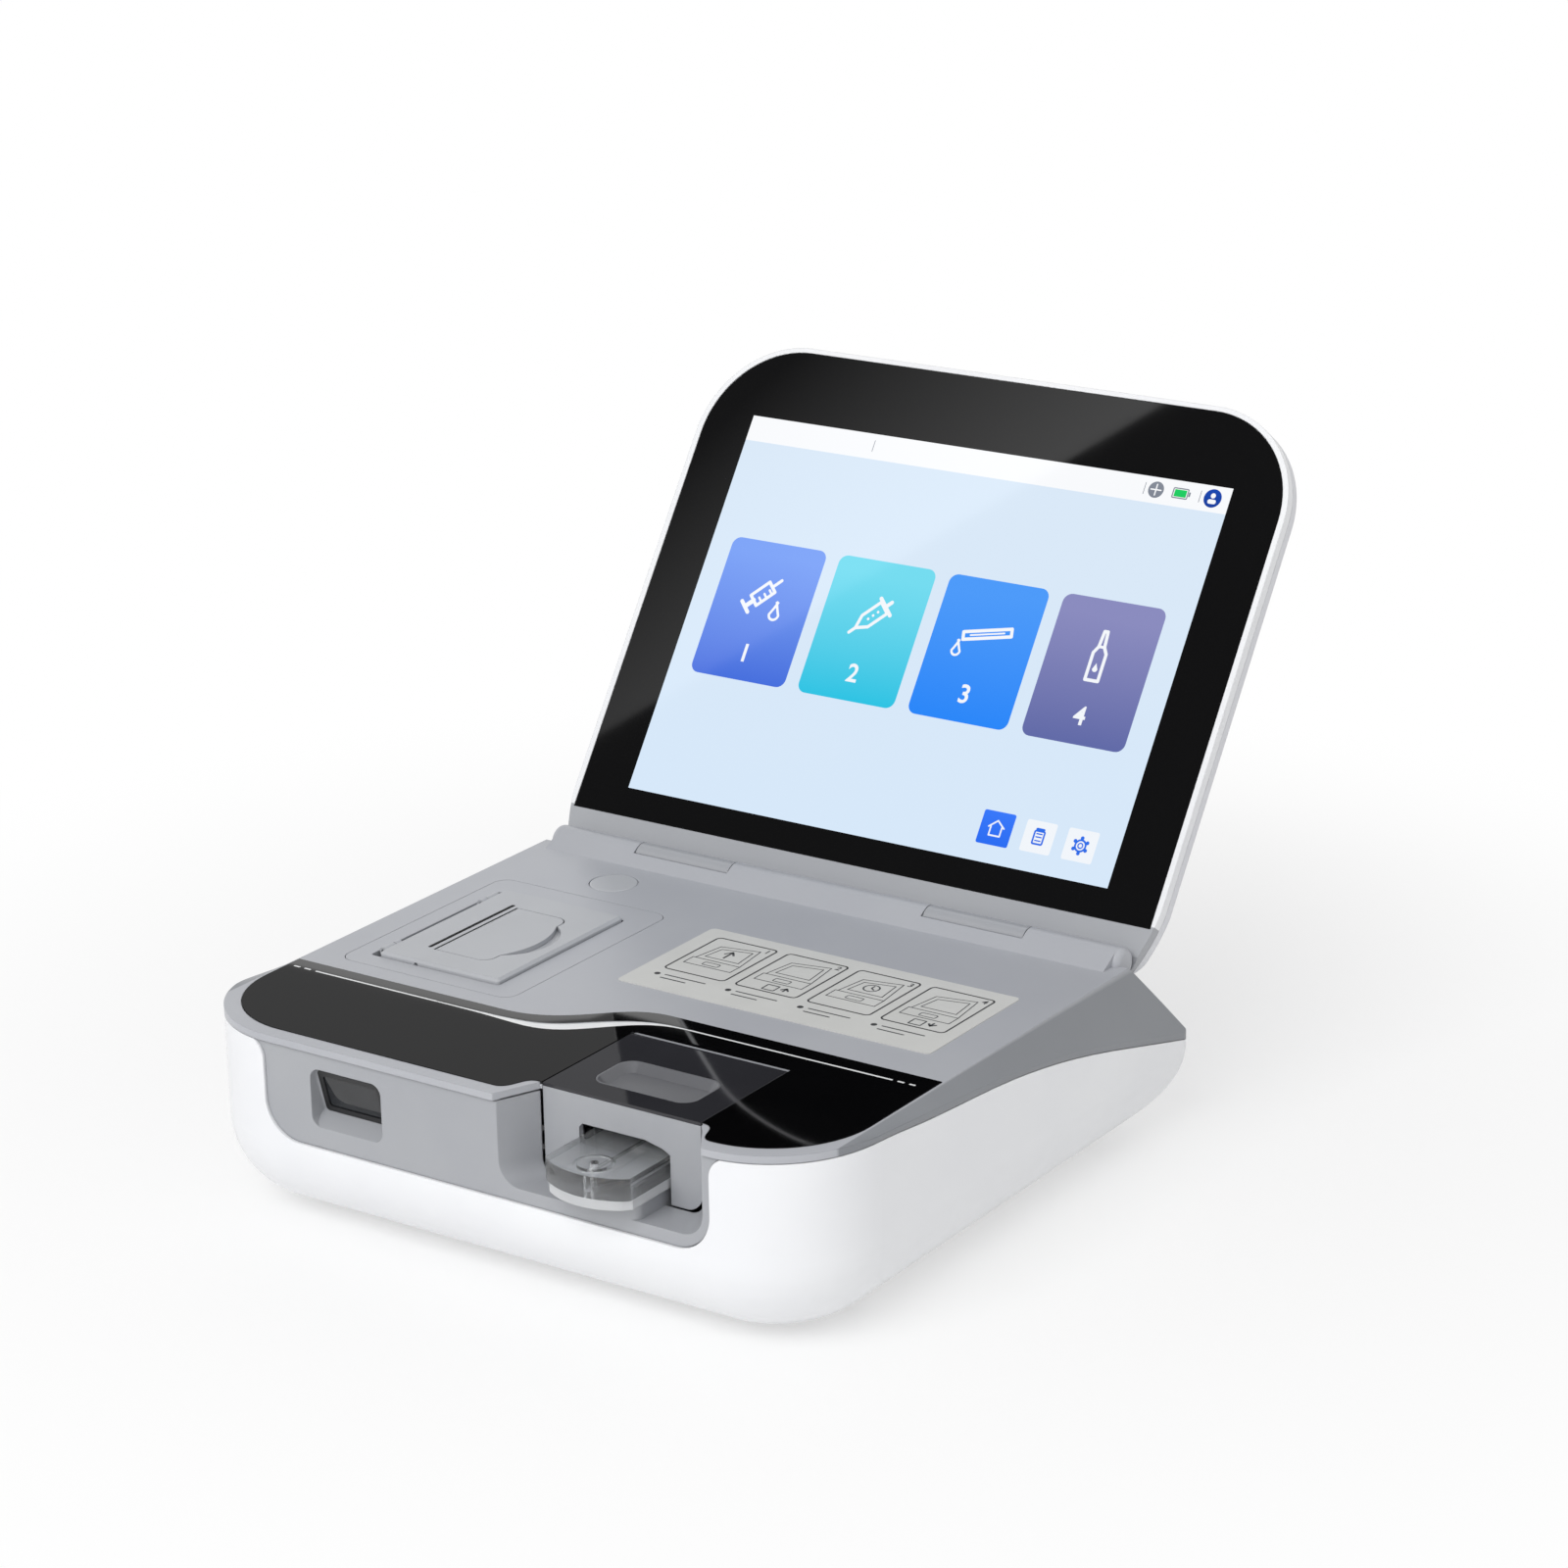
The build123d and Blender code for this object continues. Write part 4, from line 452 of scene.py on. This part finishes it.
screen_half = 105.6
screen_bottom = 26.4
screen_top = 180.75
bar_bottom = 170.6
tile_centres = (-74.4, -25.2, 24.1, 73.4)
tile_size = (43.2, 55.7)
tile_middle = 103.8
tile_colours = (("#7aa2f8", "#3a66dc"), ("#74def2", "#12c2e4"), ("#4b9bfc", "#1c84fb"), ("#8b8cc0", "#5c66a6"))
symbol_middle = 109.6
number_middle = 86.5
button_centres = (54.4, 72.4, 89.9)
button_size = 12.6
button_middle = 39.6
mark_middle = 175.9
cross_mark, battery_mark, user_mark = 75.0, 85.2, 98.6

# bottom and top of each layer above the glass, one on the other
ground = (0.01, 0.05)
fields = (0.05, 0.08)
ink = (0.08, 0.11)
ink_on_marks = (0.11, 0.14)


def picture(name, sheet, material):
    """A piece of the picture. Gloss doesn't show it, so the overlay mirrors a dark screen."""
    piece(name, sheet, material, "lid").visible_glossy = False


sheet = bmesh.new()
lay(sheet, rounded_rectangle(2 * screen_half, screen_top - screen_bottom, 0), on_glass, 0,
    (screen_top + screen_bottom) / 2, 0, *ground)
picture("screen_background", sheet, lit_picture("lit_pale_blue", "#dcebfa", "#d8eafc", 30, 190, 70))

sheet = bmesh.new()
lay(sheet, rounded_rectangle(2 * screen_half, screen_top - bar_bottom, 0), on_glass, 0,
    (screen_top + bar_bottom) / 2, 0, *fields)
lit_white = lit_picture("lit_white", "#fcfdff", "#f4f8fd", 60, 190)
picture("screen_top_bar", sheet, lit_white)

for count, (centre, (upper, lower)) in enumerate(zip(tile_centres, tile_colours), 1):
    sheet = bmesh.new()
    lay(sheet, rounded_rectangle(*tile_size, 3.6), on_glass, centre, tile_middle, 0, *fields)
    picture(f"screen_tile_{count}", sheet, lit_picture(f"lit_tile_{count}", upper, lower, 76, 132, 12))

sheet = bmesh.new()
line = 1.3
y = symbol_middle
# first tile: a syringe that points up to the right, and a drop
x = tile_centres[0]
slant = (math.radians(-45), x - 1, y + 1)
path(sheet, on_glass, turned([(-2.6, -4), (2.6, -4), (2.6, 5), (-2.6, 5), (-2.6, -4)], *slant), line, *ink)
path(sheet, on_glass, turned([(0, 5), (0, 9.5)], *slant), line, *ink)
path(sheet, on_glass, turned([(0, -4), (0, -8)], *slant), line * 1.5, *ink)
path(sheet, on_glass, turned([(-2.8, -8.2), (2.8, -8.2)], *slant), line * 1.2, *ink)
for step in (-1.5, 1, 3.5):
    path(sheet, on_glass, turned([(0.4, step), (2.4, step)], *slant), line * 0.7, *ink)
lay(sheet, outlined(drop(2.6), 1.0), on_glass, x + 7, y - 6, 0, *ink)
# second tile: a vial with a tapered end and a stopper
x = tile_centres[1]
slant = (math.radians(-45), x, y)
path(sheet, on_glass, turned([(-2.8, 6), (-2.8, -3), (0, -7.5), (2.8, -3), (2.8, 6), (-2.8, 6)], *slant),
     line, *ink)
path(sheet, on_glass, turned([(-4.2, 6.6), (4.2, 6.6)], *slant), line * 1.2, *ink)
path(sheet, on_glass, turned([(0, 6.6), (0, 9.6)], *slant), line * 1.2, *ink)
path(sheet, on_glass, turned([(0, -7.5), (0, -10.5)], *slant), line, *ink)
for step in (-1.5, 0.8, 3.1):
    lay(sheet, disc(0.55, 16), on_glass, *turned([(0, step)], *slant)[0], 0, *ink)
# third tile: a thin tube lying almost flat, and a drop under its end
x = tile_centres[2]
slant = (math.radians(12), x + 0.5, y + 1)
path(sheet, on_glass, turned([(-9, -1.5), (11, -1.5), (11, 1.5), (-9, 1.5), (-9, -1.5)], *slant), line, *ink)
path(sheet, on_glass, turned([(-6, 0), (8, 0)], *slant), line * 0.5, *ink)
lay(sheet, outlined(drop(2.2), 0.9), on_glass, x - 9.5, y - 7, 0, *ink)
# fourth tile: a small bottle with a long neck
x = tile_centres[3]
path(sheet, on_glass, [(x - 2.7, y - 9), (x + 2.7, y - 9), (x + 2.7, y + 1.5), (x + 1.2, y + 4),
                       (x + 0.7, y + 10), (x - 0.7, y + 10), (x - 1.2, y + 4), (x - 2.7, y + 1.5),
                       (x - 2.7, y - 9)], line, *ink)
path(sheet, on_glass, [(x - 1.4, y + 4), (x + 1.4, y + 4)], line * 0.8, *ink)
lay(sheet, drop(1.1), on_glass, x, y - 4.6, 0, *ink)
for count, centre in enumerate(tile_centres, 1):
    numeral(sheet, on_glass, str(count), centre, number_middle, 7.0, *ink)
picture("screen_tile_symbols", sheet, lit_white)

# buttons at the lower right: a chosen blue one and two white ones
sheet = bmesh.new()
lay(sheet, rounded_rectangle(button_size + 0.8, button_size + 0.2, 0.8), on_glass, button_centres[0],
    button_middle, 0, *fields)
picture("screen_button_chosen", sheet, lit_picture("lit_strong_blue", "#3a7cff", "#1f68f2", 30, 50))
sheet = bmesh.new()
for centre in button_centres[1:]:
    lay(sheet, rounded_rectangle(button_size, button_size - 0.6, 0.8), on_glass, centre, button_middle, 0,
        *fields)
picture("screen_buttons_plain", sheet, lit_white)

# a house on the blue button
x, y = button_centres[0], button_middle
sheet = bmesh.new()
path(sheet, on_glass, [(x - 3.2, y + 0.4), (x, y + 3), (x + 3.2, y + 0.4)], 0.6, *ink)
path(sheet, on_glass, [(x - 2.3, y + 0.6), (x - 2.3, y - 2.8), (x + 2.3, y - 2.8), (x + 2.3, y + 0.6)], 0.6,
     *ink)
picture("screen_home_symbol", sheet, lit_white)

# a written sheet and a toothed wheel on the white ones
sheet = bmesh.new()
x = button_centres[1]
lay(sheet, outlined(rounded_rectangle(4.8, 5.6, 0.8), 0.7), on_glass, x, y - 0.2, 0, *ink)
path(sheet, on_glass, [(x - 1.4, y + 2.9), (x + 1.4, y + 2.9)], 1.0, *ink)
for step in (-1.4, 0.0, 1.2):
    path(sheet, on_glass, [(x - 1.1, y + step), (x + 1.1, y + step)], 0.5, *ink)
x = button_centres[2]
lay(sheet, outlined(disc(2.5), 0.75), on_glass, x, y, 0, *ink)
lay(sheet, outlined(disc(1.2, 24), 0.5), on_glass, x, y, 0, *ink)
for tooth in range(6):
    tooth_place = turned([(2.9, 0)], math.radians(60 * tooth + 30), x, y)[0]
    lay(sheet, disc(0.75, 12), on_glass, *tooth_place, 0, *ink)
picture("screen_button_symbols", sheet, lit_picture("lit_symbol_blue", "#2f74f0", "#2566e4", 30, 50))

# marks in the bar: a grey round one with a cross, a battery and a navy round one
sheet = bmesh.new()
lay(sheet, disc(3.2), on_glass, cross_mark, mark_middle, 0, *ink)
lay(sheet, outlined(rounded_rectangle(6.6, 4.2, 0.6), 0.45), on_glass, battery_mark, mark_middle, 0, *ink)
lay(sheet, rounded_rectangle(0.7, 1.8, 0.2), on_glass, battery_mark + 3.8, mark_middle, 0, *ink)
for divider in (70.2, 93.4, -48.4):
    lay(sheet, rounded_rectangle(0.25, 4.6, 0), on_glass, divider, mark_middle, 0, *ink)
picture("screen_grey_marks", sheet, lit_picture("lit_mark_grey", "#8a909c", "#7d8390", 170, 182))
sheet = bmesh.new()
lay(sheet, rounded_rectangle(5.0, 2.8, 0.2), on_glass, battery_mark, mark_middle, 0, *ink)
picture("screen_battery_charge", sheet, lit_picture("lit_charge_green", "#1fd86a", "#10c458", 172, 180))
sheet = bmesh.new()
lay(sheet, disc(3.6), on_glass, user_mark, mark_middle, 0, *ink)
picture("screen_user_mark", sheet, lit_picture("lit_navy", "#0d46b4", "#083a9c", 172, 180))
sheet = bmesh.new()
x, y = cross_mark, mark_middle
path(sheet, on_glass, [(x - 2.1, y), (x + 2.1, y)], 0.5, *ink_on_marks)
path(sheet, on_glass, [(x, y - 2.1), (x, y + 2.1)], 0.5, *ink_on_marks)
lay(sheet, disc(1.0, 20), on_glass, user_mark, y + 1.0, 0, *ink_on_marks)
lay(sheet, rounded_rectangle(3.4, 1.7, 0.8), on_glass, user_mark, y - 1.3, 0, *ink_on_marks)
picture("screen_mark_lines", sheet, lit_white)


# Line printed on the black overlay: dashes, a thin line, a swelling wave and a thin line again.
# Its places are in millimetres from the body's middle and back from its front.

line_height = 0.05
dashes = ((-124.4, -121.6, 48.3), (-119.6, -116.8, 48.3), (-114.4, -60.0, 48.2), (30.0, 112.6, 72.6),
          (114.6, 117.2, 72.6), (119.2, 121.6, 72.6))
sheet = bmesh.new()
for start, end, y in dashes:
    lay(sheet, rounded_rectangle(end - start, 0.8, 0.2), on_overlay, (start + end) / 2, y, 0, 0.0, line_height)
ribbon(sheet, on_overlay,
       [(-61, 48.2), (-50, 48.2), (-38, 48.1), (-28, 48.0), (-18, 48.4), (-10, 51.5), (-3, 57.0), (4, 63.5),
        (12, 69.2), (20, 72.2), (26, 72.6), (31, 72.6)],
       [0.8, 0.8, 1.3, 2.7, 4.6, 5.8, 6.0, 5.0, 3.2, 1.6, 0.8, 0.8], line_height)
# a thick layer of white ink: flat and slightly glossy
piece("overlay_line", sheet, surface("screen_printed_white_ink", "#eceded", "#e4e5e6", 10, 0.3, 0.04,
                                     grain_mm=0.3, relief_mm=0.001, shader={"IOR": 1.5}), "base")


# Painted shadow: a black sheet in the paper slot, just under the top of the printer door, that darkens the slot
# as its shade would

slot_x, slot_front, slot_back, slot_width = -92.0, 84.4, 134.2, 1.6
slot_clearance = 0.06
shadow_sheet_low, shadow_sheet_high = -0.4, -0.12
sheet = bmesh.new()
lay(sheet, rounded_rectangle(slot_width - slot_clearance, slot_back - slot_front - slot_clearance, 0.6),
    on_door, slot_x, (slot_front + slot_back) / 2, 0, shadow_sheet_low, shadow_sheet_high)
# painted shadow: a matt black sheet in place of the slot's shaded inside
piece("paper_slot_painted_shadow", sheet, surface("painted_slot_shadow_black", "#0b0b0c", "#060607", 2, 0.9, 0.06, grain_mm=0.2,
                                        relief_mm=0.02, shader={"IOR": 1.53}), "printer_door")


# Print on the label: four framed steps, each with its number, a plain drawing, a dot and two rules

panel_centres = (1.4, 31.7, 62.0, 92.3)
panel_size = (26.4, 35.0)
panel_middle = 132.6
dot_row = 109.9
fine = (0.0, 0.03)

sheet = bmesh.new()
for centre in panel_centres:
    lay(sheet, outlined(rounded_rectangle(*panel_size, 2.2), 0.7), on_label, centre, panel_middle, 0, *fine)
    left = centre - panel_size[0] / 2
    lay(sheet, disc(1.15, 24), on_label, left + 1.7, dot_row, 0, *fine)
# a thin layer of dark ink: it takes on the film's matt face
piece("label_frames", sheet, surface("screen_printed_dark_grey_ink", "#3a3b3d", "#343537", 6, 0.45, 0.05,
                                     grain_mm=0.3, relief_mm=0.001, shader={"IOR": 1.5}), "base")

sheet = bmesh.new()
pen = 0.42
for count, centre in enumerate(panel_centres, 1):
    left = centre - panel_size[0] / 2
    for row, length in ((dot_row + 0.4, 17.5), (dot_row - 2.6, 11.0)):
        lay(sheet, rounded_rectangle(length, 0.7, 0.3), on_label, left + 4.6 + length / 2, row, 0, *fine)
    x, y = centre, panel_middle
    # opened unit seen from the front: body, lid, screen and the slot for the cartridge
    path(sheet, on_label, [(x - 10, y - 3), (x - 10, y - 9), (x + 10, y - 9), (x + 10, y - 3),
                           (x - 10, y - 3)], pen, *fine)
    path(sheet, on_label, [(x - 9, y - 3), (x - 7, y + 10), (x + 8, y + 13), (x + 10, y - 3)], pen, *fine)
    path(sheet, on_label, [(x - 6.6, y - 0.5), (x - 5.2, y + 8), (x + 6.4, y + 10.4), (x + 7.6, y - 0.5),
                           (x - 6.6, y - 0.5)], pen, *fine)
    lay(sheet, outlined(rounded_rectangle(7.0, 3.0, 0.8), pen), on_label, x, y - 6.2, 0, *fine)
    # what the step does: lift, insert, wait, take out
    if count == 1:
        path(sheet, on_label, [(x, y + 1.5), (x, y + 7)], pen * 2, *fine)
        path(sheet, on_label, [(x - 1.8, y + 5), (x, y + 7.4), (x + 1.8, y + 5)], pen * 2, *fine)
    if count in (2, 4):
        lay(sheet, outlined(rounded_rectangle(5.4, 5.0, 0.6), pen * 1.4), on_label, x, y - 13.2, 0, *fine)
        arrow = x + 5.6
        tail, tip, barb = (y - 14, y - 11.4, -1.6) if count == 2 else (y - 11.4, y - 14, 1.6)
        path(sheet, on_label, [(arrow, tail), (arrow, tip)], pen * 2, *fine)
        path(sheet, on_label, [(arrow - 1.4, tip + barb), (arrow, tip), (arrow + 1.4, tip + barb)], pen * 2,
             *fine)
    if count == 3:
        lay(sheet, outlined(disc(3.2, 32), pen * 1.4), on_label, x, y + 4.6, 0, *fine)
        path(sheet, on_label, [(x, y + 6.6), (x, y + 4.6), (x + 1.5, y + 3.6)], pen * 1.4, *fine)
    numeral(sheet, on_label, str(count), centre + 10.2, panel_middle + 14.0, 3.0, *fine)
# the same ink in a softer grey
piece("label_drawings", sheet, surface("screen_printed_grey_ink", "#4a4c4f", "#434547", 6, 0.45, 0.05,
                                       grain_mm=0.3, relief_mm=0.001, shader={"IOR": 1.5}), "base")


# Studio: pale floor, white surroundings, one broad lamp, and grey and black cards that only gloss sees

def stage_piece(name, shape, material):
    """Makes a shape part of the stage."""
    mesh = bpy.data.meshes.new(name)
    shape.to_mesh(mesh)
    shape.free()
    mesh.materials.append(material)
    made = bpy.data.objects.new(name, mesh)
    bpy.context.scene.collection.objects.link(made)
    return made


def looked_at(tree):
    """1 where the camera, gloss or glass shows the surroundings, and 0 where they light the object."""
    ray = add_node(tree, "ShaderNodeLightPath")
    seen = add_node(tree, "ShaderNodeMath", None,
                    {0: ray.outputs["Is Camera Ray"], 1: ray.outputs["Is Glossy Ray"]}, operation="ADD")
    shown = add_node(tree, "ShaderNodeMath", None,
                     {0: seen.outputs["Value"], 1: ray.outputs["Is Transmission Ray"]}, operation="ADD",
                     use_clamp=True)
    return shown.outputs["Value"]


def floor_finish():
    """Pale painted floor. The camera and gloss see it run out to pure white away from the object, as on a
    lit studio sweep, so only the soft shadow round the object is left."""
    material = surface("painted_studio_floor", "#f8f8f8", "#f6f6f6", 400, 0.9, 0.02,
                       shader={"Specular IOR Level": 0.1})
    tree = material.node_tree
    shown = looked_at(tree)
    place = add_node(tree, "ShaderNodeTexCoord").outputs["Object"]
    away = add_node(tree, "ShaderNodeVectorMath", None, {0: place}, operation="LENGTH")
    share = add_node(tree, "ShaderNodeMapRange",
                     {"From Min": 0.16, "From Max": 0.52, "To Min": 0.55, "To Max": 1.0},
                     {"Value": away.outputs["Value"]}, interpolation_type="SMOOTHSTEP")
    white_share = add_node(tree, "ShaderNodeMath", None, {0: share.outputs["Result"], 1: shown},
                           operation="MULTIPLY")
    white = add_node(tree, "ShaderNodeEmission", {"Color": linear("#ffffff"), "Strength": 1.0})
    both = add_node(tree, "ShaderNodeMixShader", None, {"Fac": white_share.outputs["Value"],
                                                        1: tree.nodes["Principled BSDF"].outputs["BSDF"],
                                                        2: white.outputs["Emission"]})
    tree.links.new(both.outputs["Shader"], tree.nodes["Material Output"].inputs["Surface"])
    return material


# The floor lies a hair under the feet
floor_place = Matrix.Translation((0, 0, -0.2 * MM))
floor_shape = disc(40, 64)
bmesh.ops.transform(floor_shape, matrix=floor_place, verts=floor_shape.verts)
stage_piece("studio_floor", floor_shape, floor_finish())


def card(name, level, corners, fade=None):
    """A grey card hung out of sight that only shows in gloss. With a fade it goes from its level down to
    nearly black along a direction."""
    material, tree = new_material(name)
    glow = add_node(tree, "ShaderNodeEmission", {"Color": (1, 1, 1, 1), "Strength": level})
    if fade:
        direction, start, end = fade
        place = add_node(tree, "ShaderNodeTexCoord").outputs["Object"]
        along = add_node(tree, "ShaderNodeVectorMath", {1: direction}, {0: place}, operation="DOT_PRODUCT")
        share = add_node(tree, "ShaderNodeMapRange",
                         {"From Min": start, "From Max": end, "To Min": level, "To Max": 0.1},
                         {"Value": along.outputs["Value"]})
        tree.links.new(share.outputs["Result"], glow.inputs["Strength"])
    tree.links.new(glow.outputs["Emission"], tree.nodes["Material Output"].inputs["Surface"])
    shape = bmesh.new()
    shape.faces.new([shape.verts.new(corner) for corner in corners])
    hung = stage_piece(name, shape, material)
    hung.visible_camera = False
    hung.visible_diffuse = False
    hung.visible_transmission = False
    hung.visible_shadow = False


# Each card hangs where a surface mirrors it to the camera: the overlay's left part shows the grey card and
# the rest of it the black ones, and the cover glass is lit to a slanting edge, with its lower right dark.
card("card_by_overlay", 0.29,
     [(-0.3475, 0.1204, 0.1921), (-0.2608, 0.1718, 0.2187), (-0.2458, 0.1814, 0.2220),
      (-0.2282, 0.1950, 0.2212), (-0.2210, 0.2016, 0.2189), (-0.2021, 0.1891, 0.2708),
      (-0.2866, 0.1378, 0.2471), (-0.3544, 0.0981, 0.2253), (-0.3784, 0.0916, 0.2029)])
card("card_beside_lid", 0.0,
     [(-0.2209, 0.2017, 0.2188), (-0.0812, 0.2855, 0.2599), (-0.1497, 0.2054, 0.3154),
      (-0.2039, 0.1740, 0.2974), (-0.2021, 0.1891, 0.2708)])
card("card_over_glass", 1.35,
     [(-1.056, -0.798, 1.004), (-0.670, -0.651, 1.429), (-0.815, -0.443, 1.488), (-1.201, -0.590, 1.063)],
     fade=((-0.700, 0.745, 0.0707), 0.102, 0.310))
card("card_under_glass", 0.08,
     [(-1.160, -0.838, 0.889), (-0.605, -0.626, 1.500), (-0.405, -0.914, 1.418), (-0.960, -1.125, 0.807)])
card("card_overhead_left", 0.0, [(-1.3, -0.35, 1.2), (-0.25, -0.35, 1.2), (-0.25, 0.6, 1.2), (-1.3, 0.6, 1.2)])

# The surroundings look pure white, and light the object less than that, so that pale plastic keeps its tone
world = bpy.data.worlds.new("white_studio")
bpy.context.scene.world = world
world.use_nodes = True
tree = world.node_tree
tree.nodes.clear()
shown = looked_at(tree)
lighting = add_node(tree, "ShaderNodeBackground", {"Color": linear("#ffffff"), "Strength": 0.61})
white = add_node(tree, "ShaderNodeBackground", {"Color": linear("#ffffff"), "Strength": 1.0})
both = add_node(tree, "ShaderNodeMixShader", None, {"Fac": shown, 1: lighting.outputs["Background"],
                                                    2: white.outputs["Background"]})
add_node(tree, "ShaderNodeOutputWorld", None, {"Surface": both.outputs["Shader"]})

# One broad lamp high in front of the object, turned to its middle
lamp_data = bpy.data.lights.new("broad_lamp", "AREA")
lamp_data.shape = "RECTANGLE"
lamp_data.size = 1.8
lamp_data.size_y = 1.4
lamp_data.energy = 33
lamp = bpy.data.objects.new("broad_lamp", lamp_data)
bpy.context.scene.collection.objects.link(lamp)
lamp.location = (0.15, -1.85, 1.7)
lamp_target = Vector((0, 0, 0.08))
lamp.rotation_euler = (lamp_target - lamp.location).to_track_quat("-Z", "Y").to_euler()
lamp.visible_glossy = False
lamp.visible_camera = False

# Camera at the place and angle of the photograph
camera_data = bpy.data.cameras.new("camera")
camera_data.sensor_width = 36
camera_data.lens = 103.348
camera_data.clip_start = 0.05
camera_data.clip_end = 200
camera = bpy.data.objects.new("camera", camera_data)
bpy.context.scene.collection.objects.link(camera)
bpy.context.scene.camera = camera
camera_place = (0.8656, -1.2360, 0.6524)
azimuth, elevation, roll = (math.radians(a) for a in (34.665, 19.102, -1.1375))
forward = Vector((-math.sin(azimuth) * math.cos(elevation), math.cos(azimuth) * math.cos(elevation),
                  -math.sin(elevation)))
level = Vector((math.cos(azimuth), math.sin(azimuth), 0))
upward = level.cross(forward)
right = level * math.cos(roll) + upward * math.sin(roll)
upward = upward * math.cos(roll) - level * math.sin(roll)
turned_camera = Matrix((right, upward, -forward)).transposed().to_4x4()
camera.matrix_world = Matrix.Translation(camera_place) @ turned_camera

bpy.context.scene.view_settings.view_transform = "Standard"
